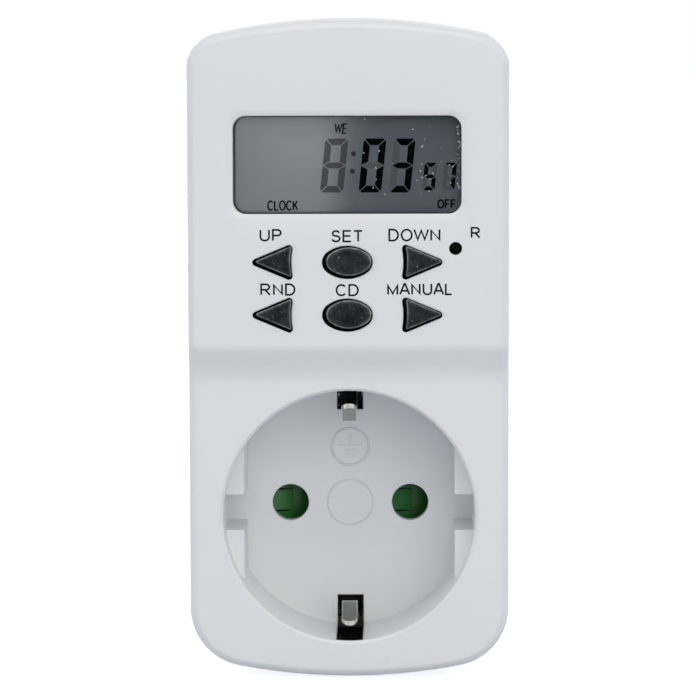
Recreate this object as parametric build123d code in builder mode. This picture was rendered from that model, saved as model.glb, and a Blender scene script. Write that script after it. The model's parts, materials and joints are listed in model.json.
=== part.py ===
"""Digital plug-in timer: a flat box with a display and keys above, a socket well below and a plug behind.

Millimetres. The origin lies midway between the two plug pins, on the face of the plug nose.
+Y points into the wall, +Z up, and +X to the right of someone who faces the timer.
Heights are measured from the plug nose's face towards that person, so height h lies at Y = -h.
"""

import os
from math import radians, sqrt, tan

from build123d import *

# Housing, seen from the front
width = 50.0
top_reach = 76.8  # top of the housing above the socket's axis
bottom_reach = 25.4  # bottom of the housing below that axis
top_arch_radius = 97.0
bottom_arch_radius = 91.0
top_corner_radius = 5.0
bottom_corner_radius = 9.5

# Housing, seen from the side
nose_length = 17.5  # plug nose, from its face to the housing's back
housing_depth = 33.0  # back to the face round the socket
rear_shell_depth = 13.0  # back to the line where the two covers meet
panel_rise = 2.15  # control panel above the face round the socket
step_crest = 26.3  # above the axis, where the slope leaves the panel
step_foot = 22.05
step_crest_radius = 2.9
step_foot_radius = 6.9
wall = 1.8
mould_draft = 1.0
front_edge = 1.0
back_edge = 1.6
second_chamfer = 0.3  # share of the first one
lip_height = 1.6
lip_gap = 0.1
past = 1.0  # how far a cut reaches past a face
beyond_housing = 10.0  # how far a cut reaches beyond the housing

# Socket well
pin_spacing = 19.0
well_radius = 19.5
well_depth = 17.5
well_mouth_edge = 0.4
well_wall = 1.6
floor_thickness = 2.0
pin_hole_radius = 2.9
block_chord = 16.4  # flat of each side block from the axis
block_drop = 5.0  # top of the side blocks below the face
key_notch = 5.5
clip_slot_width = 4.15
clip_slot_start = 14.85  # distance of the earth clip slot from the axis
clip_slot_end = 20.9
clip_slot_drop = 1.0  # top of the slot below the face
clip_pocket_wall = 1.3

# Display
panel_x = -0.15  # centre line of the display and keys
display_z = 54.4
display_width = 35.0
display_height = 15.0
display_corner = 2.0
display_bevel = 1.1
display_bevel_depth = 0.45
window_drop = 0.9
window_flange = 1.7
window_flange_thickness = 0.8
window_gap = 0.1
glass_width = 38.0
glass_height = 17.0
glass_thickness = 2.0
glass_gap = 0.05
connector_width = 1.8
holder_gap = 0.1
holder_wall = 0.7
holder_ledge = 1.6

# Keys
key_column = 11.3
key_rows = (39.5, 31.4)
oval_width = 7.75
oval_height = 5.1
oval_end_radius = 1.9
arrow_tip = 4.12  # sharp tip, before rounding, from the key's centre
arrow_base = 3.13
arrow_height = 6.06
arrow_width = 6.1  # over its rounded corners
arrow_hollow = 0.4
arrow_corner = 0.55
key_gap = 0.27  # edge of the cap inside the opening's edge
skirt_gap = 0.1
skirt_drop = 0.55  # top of the skirt below the panel
key_shift = (0.14, 0.08)  # the keypad sits a little to the right and high
key_proud = 0.4
key_flange = 0.4
stem_width = 4.2
stem_height = 3.0
key_flange_thickness = 0.8
flange_gap = 0.1
key_travel = 0.9
stem_clearance = 0.1
reset_place = (16.43, 41.58)
reset_hole_radius = 1.0
reset_radius = 0.6
reset_flange = 2.6
reset_drop = 1.0
reset_travel = 0.6
reset_clearance = 0.4

# Boards
board_thickness = 1.2
control_board_depth = 7.65  # panel face to the board's front
board_margin = 4.0  # edge of the control board inside the housing's side
board_top_margin = 10.2
board_bottom = 24.2
power_board_height = 21.5
power_board_spread = 0.3  # power board wider than the control board, each side
power_board_drop = 1.4  # its top below the control board's top
power_board_lift = 0.4  # its bottom above the control board's bottom
mat_thickness = 1.0
mat_collar = 1.2
mat_width = 36.4
mat_height = 16.0
mat_z = 36.0
collar_wall = 0.7
guide_gap = 0.3
post_size = 3.2
peg_size = 1.6
peg_head = 2.6
peg_head_thickness = 0.6
peg_gap = 0.1
upper_post_place = (12.0, 1.2)  # from the centre line, and from the control board's top
lower_post_place = (17.4, 1.8)  # from the centre line, and from its bottom
power_post_place = (16.5, 5.2)  # from the centre line, and from the power board's top
power_rest_place = (16.5, 3.4)  # from the centre line, and from its bottom
chip_place = (4.0, 50.0)
chip_side = 9.0
chip_height = 1.4
crystal_place = (14.0, 38.0)
crystal_radius = 1.0
crystal_length = 6.0
battery_place = (-10.5, 56.0)
battery_radius = 7.8
battery_height = 5.6
header_place = (18.4, 34.0)
header_count = 6
header_pitch = 2.0
header_bar = 2.4
header_pin = 0.6
relay_place = (7.9, 46.0)
relay_size = (12.8, 29.0, 15.7)
film_capacitor_place = (-9.5, 51.5)
film_capacitor_size = (17.5, 7.0, 13.0)
component_edge = 0.6
bridge_place = (-8.0, 40.0)
bridge_size = (6.4, 8.2, 2.6)
bridge_edge = 0.3
resistor_places = [(-16.8, 27.4), (-16.8, 31.2)]
resistor_radius = 1.1
resistor_length = 6.0
fuse_place = (-6.0, 60.5)
fuse_radius = 1.8
fuse_length = 10.0
smoothing_place = (-15.6, 40.5)
smoothing_radius = 4.0
smoothing_height = 12.0
varistor_place = (-2.8, 33.2)
varistor_radius = 4.5
varistor_thickness = 3.4

# Plug nose and pins
nose_radius = 18.6
nose_flat = 16.1
nose_rib = 5.0
nose_draft = 0.8
nose_edge = 1.2
nose_wall = 3.0
pin_radius = 2.4
pin_length = 19.0
pin_tip_radius = 1.4
pin_tip_length = 1.2
pin_stub_radius = 1.7  # where the nose holds it
pin_clearance = 0.02
chamber_radius = 4.6

# Contacts and shutter
contact_radius = 3.1
contact_bore = 2.5
contact_slit = 0.8
contact_slit_length = 9.0
strap_thickness = 0.6
strap_width = 4.0
shutter_thickness = 3.6
shutter_gap = 0.15
shutter_half_height = 8.4
shutter_travel = 6.0
shutter_hole = 6.2
ramp_drop = 3.1
ramp_step = 0.6
tongue_slot = 0.3
tongue_half = 1.75
spring_radius = 1.2
spring_wire = 0.3
spring_turns = 3
spring_height = 5.8  # spring's axis above the pins' plane
shutter_left = 14.4
shutter_right = 19.6
carrier_thickness = 1.8
carrier_half_height = 14.0
rail_wall = 1.4
stop_gap = 0.15
contact_base = 1.0
live_contact_base = 9.5
rail_gap = 0.05
carrier_notch = 1.4
carrier_notch_gap = 0.6
ramp_start = 3.5  # left end of each ramp from the pin's axis
tongue_end = 0.3
ramp_step_top = 1.9
ramp_floor = 1.0
ramp_overlap = 0.1  # ramp runs into the hole beside it
spring_start = -4.0  # right side of the spring's post
spring_post = 1.2
spring_window = 10.15
spring_length = 7.9
spring_gap = 0.2
strap_foot_reach = 3.0
strap_riser = 4.9
strap_end = 29.0
strap_bend = 0.6
strap_gap = 0.3

# Earth parts
earth_width = 5.0
earth_thickness = 0.8
earth_reach = 15.8  # plug earth contact surface from the axis
earth_gap = 0.05
bar_gap = 0.1
clip_width = 3.5
clip_tongue_width = 2.4
clip_thickness = 0.6
clip_bend_reach = 14.0
clip_bend_drop = 6.7  # innermost bend below the face round the socket
clip_tip_reach = 17.2
clip_tip_drop = 1.6
clip_tip_radius = 1.25
clip_bend_radius = 0.9
clip_root_reach = 17.9
clip_lift = 0.2  # clip's lower end above the earth bar
clip_shoulder_share = 0.28  # share of the way to the bend up to which the clip is wide
clip_neck_share = 0.48  # share of the way where it has narrowed to the tongue
clip_knee_share = 0.6  # share of the way where the clip leans inwards
clip_tab_rise = 3.2  # bar's turned-up end above its front
plug_contact_start = 1.6
plug_contact_foot = 8.5
groove_gap = 0.15

# Columns and bosses for the screws of the housing
screw_column = 7.2
counterbore_radius = 2.6
counterbore_depth = 7.0
screw_boss = 4.4
top_screw_inset = (5.4, 7.4)  # from the housing's side and from its end
bottom_screw_inset = (6.4, 7.5)

# Heights that follow from the driving dimensions
back = nose_length
split_height = back + rear_shell_depth
face = back + housing_depth
panel_face = face + panel_rise
well_floor = face - well_depth
floor_back = well_floor - floor_thickness
board_front = panel_face - control_board_depth
board_back = board_front - board_thickness
skin = panel_face - wall
power_front = power_board_height + board_thickness
shutter_front = floor_back - shutter_gap
shutter_back = shutter_front - shutter_thickness
carrier_front = shutter_back - shutter_gap
carrier_back = carrier_front - carrier_thickness
window_front = panel_face - window_drop
window_back = skin - window_flange_thickness
glass_front = window_back - glass_gap
glass_back = glass_front - glass_thickness
earth_bar_front = carrier_back - bar_gap
earth_bar_back = earth_bar_front - earth_thickness
earth_bar_middle = earth_bar_front - earth_thickness / 2
contact_top = earth_bar_front
clip_bend = face - clip_bend_drop
clip_root = earth_bar_front + clip_lift
clip_knee = clip_root + clip_knee_share * (clip_bend - clip_root)
clip_neck = clip_root + clip_neck_share * (clip_bend - clip_root)
clip_shoulder = clip_root + clip_shoulder_share * (clip_bend - clip_root)
clip_tab_top = earth_bar_front + clip_tab_rise
key_bottom = board_front + key_travel + stem_clearance
reset_bottom = board_front + reset_travel + reset_clearance
flange_back = skin - flange_gap - key_flange_thickness
switched_x = pin_spacing / 2 + contact_radius + pin_clearance
groove_floor = earth_reach - earth_thickness - groove_gap
chamber_top = strap_riser + strap_thickness / 2 + strap_gap
pin_x = pin_spacing / 2
draft_shift = (panel_face - split_height) * tan(radians(mould_draft))
board_top = top_reach - board_top_margin
control_board_width = width - 2 * board_margin
power_board_width = control_board_width + 2 * power_board_spread
power_board_top = board_top - power_board_drop
power_board_bottom = board_bottom + power_board_lift

# Places of the fastenings
screw_places = [
    (side * (width / 2 - inset), end * (reach - end_inset))
    for end, reach, (inset, end_inset) in (
        (1, top_reach, top_screw_inset),
        (-1, bottom_reach, bottom_screw_inset),
    )
    for side in (-1, 1)
]
carrier_posts = [(15.6, 12.3), (-15.6, -12.3)]


def pair(x, z):
    """Two places, one on each side of the centre line."""
    return [(-x, z), (x, z)]


control_posts = pair(upper_post_place[0], board_top - upper_post_place[1])
control_posts += pair(lower_post_place[0], board_bottom + lower_post_place[1])
power_posts = pair(power_post_place[0], power_board_top - power_post_place[1])
power_rests = pair(power_rest_place[0], power_board_bottom + power_rest_place[1])

os.makedirs("parts", exist_ok=True)


def save(part, name):
    """Label a finished piece and write its file."""
    part.label = name
    export_step(part, f"parts/{name}.step")


def front_plane(height):
    """Plane that faces the user, at a height above the plug nose's face."""
    return Plane.XZ.offset(height)


def shoulder(reach, radius, half):
    """Where an end arch of the housing meets its straight side."""
    return reach - radius + sqrt(radius**2 - half**2)


def housing_outline(inset=0.0):
    """Front view of the housing: straight sides, arched ends and rounded corners."""
    half = width / 2 - inset
    top = top_reach - inset
    bottom = bottom_reach - inset
    top_side = shoulder(top, top_arch_radius - inset, half)
    bottom_side = -shoulder(bottom, bottom_arch_radius - inset, half)
    with BuildSketch() as outline:
        with BuildLine():
            ThreePointArc((half, top_side), (0, top), (-half, top_side))
            Line((-half, top_side), (-half, bottom_side))
            ThreePointArc((-half, bottom_side), (0, -bottom), (half, bottom_side))
            Line((half, bottom_side), (half, top_side))
        make_face()
        fillet(outline.vertices().group_by(Axis.Y)[-1], top_corner_radius - inset)
        fillet(outline.vertices().group_by(Axis.Y)[0], bottom_corner_radius - inset)
    return outline.sketch


def front_of_face(drop=0.0):
    """Side view of the space in front of the stepped face, or of its inner skin."""
    far = panel_face + beyond_housing
    high = top_reach + beyond_housing
    low = -bottom_reach - beyond_housing
    upper = panel_face - drop
    lower = face - drop
    with BuildSketch(Plane.YZ) as space:
        with BuildLine():
            FilletPolyline(
                (-upper, high),
                (-upper, step_crest),
                (-lower, step_foot),
                (-lower, low),
                radius=[step_crest_radius - drop, step_foot_radius + drop],
            )
            Polyline((-lower, low), (-far, low), (-far, high), (-upper, high))
        make_face()
    return space.sketch


def arrow(inset=0.0):
    """Triangular key opening that points left, with a slightly hollow base."""
    half = arrow_height / 2
    with BuildSketch() as shape:
        with BuildLine():
            Polyline((arrow_base, half), (-arrow_tip, 0), (arrow_base, -half))
            ThreePointArc((arrow_base, -half), (arrow_base - arrow_hollow, 0), (arrow_base, half))
        make_face()
        fillet(shape.vertices(), arrow_corner)
        if inset:
            offset(amount=-inset, mode=Mode.REPLACE)
    return shape.sketch


def oval(inset=0.0):
    """Oval key opening, drawn with two end arcs and two flatter arcs that touch them."""
    half_width = oval_width / 2 - inset
    half_height = oval_height / 2 - inset
    end_radius = oval_end_radius - inset
    run = half_width - end_radius
    flat_radius = (run**2 + half_height**2 - end_radius**2) / (2 * (half_height - end_radius))
    drop = flat_radius - half_height
    reach = sqrt(run**2 + drop**2)
    joint_x = run + end_radius * run / reach
    joint_y = end_radius * drop / reach
    with BuildSketch() as shape:
        with BuildLine():
            ThreePointArc((joint_x, -joint_y), (half_width, 0), (joint_x, joint_y))
            ThreePointArc((joint_x, joint_y), (0, half_height), (-joint_x, joint_y))
            ThreePointArc((-joint_x, joint_y), (-half_width, 0), (-joint_x, -joint_y))
            ThreePointArc((-joint_x, -joint_y), (0, -half_height), (joint_x, -joint_y))
        make_face()
    return shape.sketch


def disc_slice(slice_width, slice_height):
    """Part of the plug nose's disc that lies inside a rectangle."""
    with BuildSketch() as outline:
        Circle(nose_radius)
        Rectangle(slice_width, slice_height, mode=Mode.INTERSECT)
    return outline.sketch


def drafted_block(outline, start, end, angle):
    """Solid that narrows with the mould's draft from one height to the other."""
    with BuildPart() as block:
        with BuildSketch():
            add(outline)
        extrude(amount=abs(end - start), taper=angle)
    towards_user = Plane(origin=(0, -start, 0), x_dir=(1, 0, 0), z_dir=(0, -1, 0))
    towards_wall = Plane(origin=(0, -start, 0), x_dir=(-1, 0, 0), z_dir=(0, 1, 0))
    return (towards_user if end > start else towards_wall) * block.part


# Outlines that several pieces share
outer_outline = housing_outline()
inner_outline = housing_outline(wall + draft_shift)
rebate_outline = housing_outline(wall / 2 - lip_gap / 2)
lip_outline = housing_outline(wall / 2 + lip_gap / 2)
key_places = {
    "up_key": (-key_column, key_rows[0]),
    "set_key": (0.0, key_rows[0]),
    "down_key": (key_column, key_rows[0]),
    "random_key": (-key_column, key_rows[1]),
    "countdown_key": (0.0, key_rows[1]),
    "manual_key": (key_column, key_rows[1]),
}


def key_outline(name, inset=0.0):
    """Outline of one key, drawn about its own centre."""
    x = key_places[name][0]
    if x == 0:
        return oval(inset)
    if x < 0:
        return arrow(inset)
    return arrow(inset).mirror(Plane.YZ)


def soften(piece, edges, size):
    """Round a rim with a wide chamfer and a narrower one along both of its edges."""
    chamfer(edges, size)
    band = piece.edges(Select.LAST)
    across = band.filter_by(
        lambda e: e.length < size * 1.5 and abs(e.bounding_box().size.Y - size) < size / 10
    )
    chamfer(band - across, size * second_chamfer)


def staked_posts(places, root, near_side, far_side):
    """Square posts from a cover to a board, each with a peg through it and a melted head."""
    beyond = peg_head_thickness if far_side > near_side else -peg_head_thickness
    steps = (
        (post_size, root, near_side),
        (peg_size, near_side, far_side),
        (peg_head, far_side, far_side + beyond),
    )
    with BuildPart() as posts:
        for size, start, end in steps:
            with BuildSketch(front_plane(start)):
                with Locations(*places):
                    Rectangle(size, size)
            extrude(amount=end - start)
    return posts.part


# Front cover: space inside it, below the skin of the stepped face
with BuildPart() as cover_space:
    with BuildSketch(front_plane(split_height)):
        add(inner_outline)
    extrude(amount=panel_face - split_height)
    add(extrude(front_of_face(wall), amount=width, both=True), mode=Mode.SUBTRACT)

# Front cover: the socket well as a turned space
with BuildPart() as well_space:
    with BuildSketch(Plane.XY):
        with BuildLine():
            Polyline(
                (0, -well_floor),
                (well_radius, -well_floor),
                (well_radius, well_mouth_edge - face),
                (well_radius + well_mouth_edge, -face),
                (well_radius + well_mouth_edge, -face - past),
                (0, -face - past),
                (0, -well_floor),
            )
        make_face()
    revolve(axis=Axis.Y)

# Front cover: screw bosses and posts of the control board, which stop inside the skin
with BuildPart() as cover_bosses:
    with BuildSketch(front_plane(split_height)):
        with Locations(*screw_places):
            Rectangle(screw_boss, screw_boss)
        add(inner_outline, mode=Mode.INTERSECT)
    extrude(amount=panel_face - split_height)
    add(staked_posts(control_posts, panel_face, board_front, board_back))
    add(extrude(front_of_face(wall / 2), amount=width, both=True), mode=Mode.SUBTRACT)

with BuildPart() as front_cover:
    # outer form, trimmed to the stepped face, with a rounded front rim
    with BuildSketch(front_plane(split_height)):
        add(outer_outline)
    extrude(amount=panel_face + past - split_height, taper=mould_draft)
    add(extrude(front_of_face(), amount=width, both=True), mode=Mode.SUBTRACT)
    rim = front_cover.edges().filter_by(lambda e: e.bounding_box().max.Y < 0.5 - face)
    soften(front_cover, rim - rim.filter_by(Axis.X), front_edge)
    add(cover_space.part, mode=Mode.SUBTRACT)
    # wall of the well and pockets of the earth clips behind it
    with BuildSketch(front_plane(floor_back)):
        Circle(well_radius + well_wall)
    extrude(amount=face - wall / 2 - floor_back)
    pocket_reach = clip_slot_end + clip_pocket_wall
    with BuildSketch(front_plane(floor_back)):
        Rectangle(clip_slot_width + 2 * clip_pocket_wall, 2 * pocket_reach)
    extrude(amount=face - wall / 2 - floor_back)
    add(well_space.part, mode=Mode.SUBTRACT)
    # side blocks that guide a plug, each split by a notch
    with BuildSketch(front_plane(well_floor)):
        Circle(well_radius + well_wall / 2)
        Rectangle(2 * block_chord, 3 * well_radius, mode=Mode.SUBTRACT)
        Rectangle(3 * well_radius, key_notch, mode=Mode.SUBTRACT)
    extrude(amount=well_depth - block_drop)
    # slots of the earth clips and the two pin holes
    with BuildSketch(front_plane(floor_back)):
        with Locations(*[(0, side * (clip_slot_start + clip_slot_end) / 2) for side in (-1, 1)]):
            Rectangle(clip_slot_width, clip_slot_end - clip_slot_start)
    extrude(amount=face - clip_slot_drop - floor_back, mode=Mode.SUBTRACT)
    with BuildSketch(front_plane(floor_back)):
        with Locations((-pin_x, 0), (pin_x, 0)):
            Circle(pin_hole_radius)
    extrude(amount=floor_thickness, mode=Mode.SUBTRACT)
    # display opening with its shallow bevel
    with BuildSketch(front_plane(skin - past)):
        with Locations((panel_x, display_z)):
            RectangleRounded(display_width, display_height, display_corner)
    extrude(amount=wall + 2 * past, mode=Mode.SUBTRACT)
    with BuildSketch(front_plane(panel_face)) as bevel_mouth:
        with Locations((panel_x, display_z)):
            RectangleRounded(
                display_width + 2 * display_bevel,
                display_height + 2 * display_bevel,
                display_corner + display_bevel,
            )
    with BuildSketch(front_plane(panel_face - display_bevel_depth)) as bevel_root:
        with Locations((panel_x, display_z)):
            RectangleRounded(display_width, display_height, display_corner)
    loft([bevel_mouth.sketch.face(), bevel_root.sketch.face()], mode=Mode.SUBTRACT)
    # key openings
    with BuildSketch(front_plane(skin - past)):
        for name, (x, z) in key_places.items():
            with Locations((panel_x + x, z)):
                add(key_outline(name))
        with Locations(reset_place):
            Circle(reset_hole_radius)
    extrude(amount=wall + 2 * past, mode=Mode.SUBTRACT)
    # screw bosses, and the posts of the control board and of the carrier
    add(cover_bosses.part)
    add(staked_posts(carrier_posts, well_floor - floor_thickness / 2, carrier_front, carrier_back))
    # rebate inside the rim, for the lip of the rear cover
    with BuildSketch(front_plane(split_height)):
        add(rebate_outline)
        add(inner_outline, mode=Mode.SUBTRACT)
    extrude(amount=lip_height + lip_gap, mode=Mode.SUBTRACT)

save(front_cover.part, "front_cover")

# Plug nose: grooves for its two earth contacts, which go on through the back wall
with BuildPart() as earth_grooves:
    with BuildSketch(front_plane(-past)):
        with Locations(*[(0, side * (groove_floor + nose_radius) / 2) for side in (-1, 1)]):
            Rectangle(earth_width + 2 * groove_gap, nose_radius - groove_floor + past)
    extrude(amount=back + past)
    with BuildSketch(front_plane(back - past)):
        with Locations(*[(0, side * (earth_reach - earth_thickness / 2)) for side in (-1, 1)]):
            Rectangle(earth_width + 2 * groove_gap, earth_thickness + 2 * groove_gap)
    extrude(amount=wall + 2 * past)

nose_slices = (
    disc_slice(2 * nose_flat, 2 * nose_radius),
    disc_slice(2 * nose_radius, nose_rib),
)

with BuildPart() as rear_cover:
    # shell, open towards the front, with the lip that enters the front cover
    with BuildSketch(front_plane(split_height)):
        add(outer_outline)
    extrude(amount=back - split_height, taper=mould_draft)
    chamfer(rear_cover.faces().sort_by(Axis.Y)[-1].edges(), back_edge)
    with BuildSketch(front_plane(split_height)):
        add(inner_outline)
    extrude(amount=back + wall - split_height, mode=Mode.SUBTRACT)
    with BuildSketch(front_plane(split_height)):
        add(lip_outline)
        add(inner_outline, mode=Mode.SUBTRACT)
    extrude(amount=lip_height)
    # plug nose: a disc with two flats, a rib down each flat, and two chambers
    for outline in nose_slices:
        block = drafted_block(outline, back + wall / 2, 0, nose_draft)
        add(block.chamfer(nose_edge, None, block.faces().sort_by(Axis.Y)[-1].edges()))
    with BuildSketch(front_plane(nose_wall)):
        with Locations((-pin_x, 0), (pin_x, 0)):
            Circle(chamber_radius)
        with Locations((-pin_x, chamber_top / 2), (pin_x, chamber_top / 2)):
            Rectangle(strap_width + 2 * strap_gap, chamber_top)
    extrude(amount=back + wall - nose_wall, mode=Mode.SUBTRACT)
    with BuildSketch(front_plane(-past)):
        with Locations((-pin_x, 0), (pin_x, 0)):
            Circle(pin_stub_radius + pin_clearance)
    extrude(amount=nose_wall + 2 * past, mode=Mode.SUBTRACT)
    add(earth_grooves.part, mode=Mode.SUBTRACT)
    # columns of the housing screws, and posts and rests of the power board
    with BuildSketch(front_plane(back + wall / 2)):
        with Locations(*screw_places):
            Rectangle(screw_column, screw_column)
        add(inner_outline, mode=Mode.INTERSECT)
    extrude(amount=split_height - back - wall / 2)
    with BuildSketch(front_plane(back)):
        with Locations(*screw_places):
            Circle(counterbore_radius)
    extrude(amount=counterbore_depth, mode=Mode.SUBTRACT)
    add(staked_posts(power_posts, back + wall / 2, power_board_height, power_front))
    with BuildSketch(front_plane(back + wall / 2)):
        with Locations(*power_rests):
            Rectangle(post_size, post_size)
    extrude(amount=power_board_height - back - wall / 2)

save(rear_cover.part, "rear_cover")

# Display: clear window with a flange behind the skin, glass, its holder and the two rubber connectors
with BuildPart() as lcd_window:
    with BuildSketch(front_plane(window_back)):
        with Locations((panel_x, display_z)):
            Rectangle(display_width + 2 * window_flange, display_height + 2 * window_flange)
    extrude(amount=window_flange_thickness)
    with BuildSketch(front_plane(skin)):
        with Locations((panel_x, display_z)):
            RectangleRounded(
                display_width - 2 * window_gap,
                display_height - 2 * window_gap,
                display_corner - window_gap,
            )
    extrude(amount=window_front - skin)

save(lcd_window.part, "lcd_window")

with BuildPart() as lcd_glass:
    with BuildSketch(front_plane(glass_back)):
        with Locations((panel_x, display_z)):
            Rectangle(glass_width, glass_height)
    extrude(amount=glass_thickness)

save(lcd_glass.part, "lcd_glass")

with BuildPart() as lcd_holder:
    with BuildSketch(front_plane(board_front)):
        with Locations((panel_x, display_z)):
            Rectangle(
                glass_width + 2 * (holder_gap + holder_wall),
                glass_height + 2 * (holder_gap + holder_wall),
            )
            Rectangle(
                glass_width + 2 * holder_gap,
                glass_height + 2 * holder_gap,
                mode=Mode.SUBTRACT,
            )
    extrude(amount=glass_front - board_front)
    with BuildSketch(front_plane(board_front)):
        with Locations(
            (panel_x - (glass_width - holder_ledge) / 2, display_z),
            (panel_x + (glass_width - holder_ledge) / 2, display_z),
        ):
            Rectangle(holder_ledge + 2 * holder_gap, glass_height + 2 * holder_gap)
    extrude(amount=glass_back - board_front)

save(lcd_holder.part, "lcd_holder")

with BuildPart() as lcd_connectors:
    with BuildSketch(front_plane(board_front)):
        with Locations(
            (panel_x, display_z - (glass_height - connector_width) / 2),
            (panel_x, display_z + (glass_height - connector_width) / 2),
        ):
            Rectangle(glass_width - 2 * holder_ledge - 2 * holder_gap, connector_width)
    extrude(amount=glass_back - board_front)

save(lcd_connectors.part, "lcd_connectors")

# Keys: each a rubber cap on a skirt that fills its opening, with a retaining flange behind the skin
for key_name, (key_x, key_z) in key_places.items():
    with BuildPart() as key:
        place = (panel_x + key_x + key_shift[0], key_z + key_shift[1])
        skirt_front = panel_face - skirt_drop
        with BuildSketch(front_plane(skirt_front)):
            with Locations(place):
                add(key_outline(key_name, key_gap))
        extrude(amount=panel_face + key_proud - skirt_front)
        with BuildSketch(front_plane(flange_back)):
            with Locations((panel_x + key_x, key_z)):
                add(key_outline(key_name, skirt_gap))
        extrude(amount=skirt_front - flange_back)
        cap_width = oval_width if key_x == 0 else arrow_width
        with BuildSketch(front_plane(flange_back)):
            with Locations(place):
                Rectangle(cap_width + 2 * key_flange, oval_height + 2 * key_flange)
        extrude(amount=key_flange_thickness)
        with BuildSketch(front_plane(key_bottom)):
            with Locations(place):
                Rectangle(stem_width, stem_height)
        extrude(amount=flange_back - key_bottom)
    save(key.part, key_name)

with BuildPart() as reset_key:
    with BuildSketch(front_plane(reset_bottom)):
        with Locations(reset_place):
            Rectangle(2 * reset_radius, 2 * reset_radius)
    extrude(amount=flange_back - reset_bottom)
    with BuildSketch(front_plane(flange_back)):
        with Locations(reset_place):
            Rectangle(reset_flange, reset_flange)
    extrude(amount=key_flange_thickness)
    with BuildSketch(front_plane(flange_back + key_flange_thickness)):
        with Locations(reset_place):
            Circle(reset_radius)
    extrude(amount=skin + wall - reset_drop - flange_back - key_flange_thickness)

save(reset_key.part, "reset_key")

with BuildPart() as keypad_mat:
    with BuildSketch(front_plane(board_front)):
        with Locations((panel_x, mat_z)):
            Rectangle(mat_width, mat_height)
    extrude(amount=mat_thickness)
    for key_name, (key_x, key_z) in key_places.items():
        place = (panel_x + key_x + key_shift[0], key_z + key_shift[1])
        collar = 2 * (guide_gap + collar_wall)
        with BuildSketch(front_plane(board_front)):
            with Locations(place):
                Rectangle(stem_width + collar, stem_height + collar)
        extrude(amount=mat_thickness + mat_collar)
        with BuildSketch(front_plane(board_front)):
            with Locations(place):
                Rectangle(stem_width + 2 * guide_gap, stem_height + 2 * guide_gap)
        extrude(amount=mat_thickness + mat_collar, mode=Mode.SUBTRACT)
    reset_opening = 2 * (reset_radius + guide_gap)
    reset_collar = reset_opening + 2 * collar_wall
    with BuildSketch(front_plane(board_front)):
        with Locations(reset_place):
            Rectangle(reset_collar, reset_collar)
    extrude(amount=mat_thickness + mat_collar)
    with BuildSketch(front_plane(board_front)):
        with Locations(reset_place):
            Rectangle(reset_opening, reset_opening)
    extrude(amount=mat_thickness + mat_collar, mode=Mode.SUBTRACT)

save(keypad_mat.part, "keypad_mat")

# Control board and what is soldered to its back
with BuildPart() as control_board:
    with BuildSketch(front_plane(board_back)):
        with Locations((0, (board_bottom + board_top) / 2)):
            Rectangle(control_board_width, board_top - board_bottom)
        with Locations(*control_posts):
            Rectangle(peg_size + 2 * peg_gap, peg_size + 2 * peg_gap, mode=Mode.SUBTRACT)
    extrude(amount=board_thickness)

save(control_board.part, "control_board")

with BuildPart() as control_chip:
    with BuildSketch(front_plane(board_back)):
        with Locations(chip_place):
            Rectangle(chip_side, chip_side)
    extrude(amount=-chip_height)

save(control_chip.part, "control_chip")

with BuildPart() as quartz_crystal:
    with BuildSketch(Plane.XY.offset(crystal_place[1])):
        with Locations((crystal_place[0], -(board_back - crystal_radius))):
            Circle(crystal_radius)
    extrude(amount=crystal_length)

save(quartz_crystal.part, "quartz_crystal")

with BuildPart() as backup_battery:
    with BuildSketch(front_plane(board_back)):
        with Locations(battery_place):
            Circle(battery_radius)
    extrude(amount=-battery_height)

save(backup_battery.part, "backup_battery")

# Power board and its components
with BuildPart() as power_board:
    with BuildSketch(front_plane(power_board_height)):
        with Locations((0, (power_board_bottom + power_board_top) / 2)):
            Rectangle(power_board_width, power_board_top - power_board_bottom)
        with Locations(*power_posts):
            Rectangle(peg_size + 2 * peg_gap, peg_size + 2 * peg_gap, mode=Mode.SUBTRACT)
    extrude(amount=board_thickness)

save(power_board.part, "power_board")

with BuildPart() as board_header:
    header_x, header_z = header_place
    first_pin = header_z - (header_count - 1) / 2 * header_pitch
    header_pins = [(header_x, first_pin + i * header_pitch) for i in range(header_count)]
    for start in (power_front, board_back - header_bar):
        with BuildSketch(front_plane(start)):
            with Locations(header_place):
                Rectangle(header_bar, header_count * header_pitch)
        extrude(amount=header_bar)
    with BuildSketch(front_plane(power_front)):
        with Locations(*header_pins):
            Rectangle(header_pin, header_pin)
    extrude(amount=board_back - power_front)

save(board_header.part, "board_header")


def standing_block(place, size, edge):
    """Moulded component case that stands on the power board, with bevelled edges at its top."""
    with BuildPart() as block:
        with BuildSketch(front_plane(power_front)):
            with Locations(place):
                Rectangle(size[0], size[1])
        extrude(amount=size[2])
        chamfer(block.faces().sort_by(Axis.Y)[0].edges(), edge)
    return block.part


def lying_parts(places, radius, length):
    """Round components that lie on the power board along X."""
    with BuildPart() as parts:
        for x, z in places:
            with BuildSketch(Plane.YZ.offset(x - length / 2)):
                with Locations((-(power_front + radius), z)):
                    Circle(radius)
            extrude(amount=length)
    return parts.part


save(standing_block(relay_place, relay_size, component_edge), "relay")
save(standing_block(film_capacitor_place, film_capacitor_size, component_edge), "film_capacitor")
save(standing_block(bridge_place, bridge_size, bridge_edge), "bridge_rectifier")
save(lying_parts(resistor_places, resistor_radius, resistor_length), "resistors")
save(lying_parts([fuse_place], fuse_radius, fuse_length), "fuse")

with BuildPart() as smoothing_capacitor:
    with BuildSketch(front_plane(power_front)):
        with Locations(smoothing_place):
            Circle(smoothing_radius)
    extrude(amount=smoothing_height)

save(smoothing_capacitor.part, "smoothing_capacitor")

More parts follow.
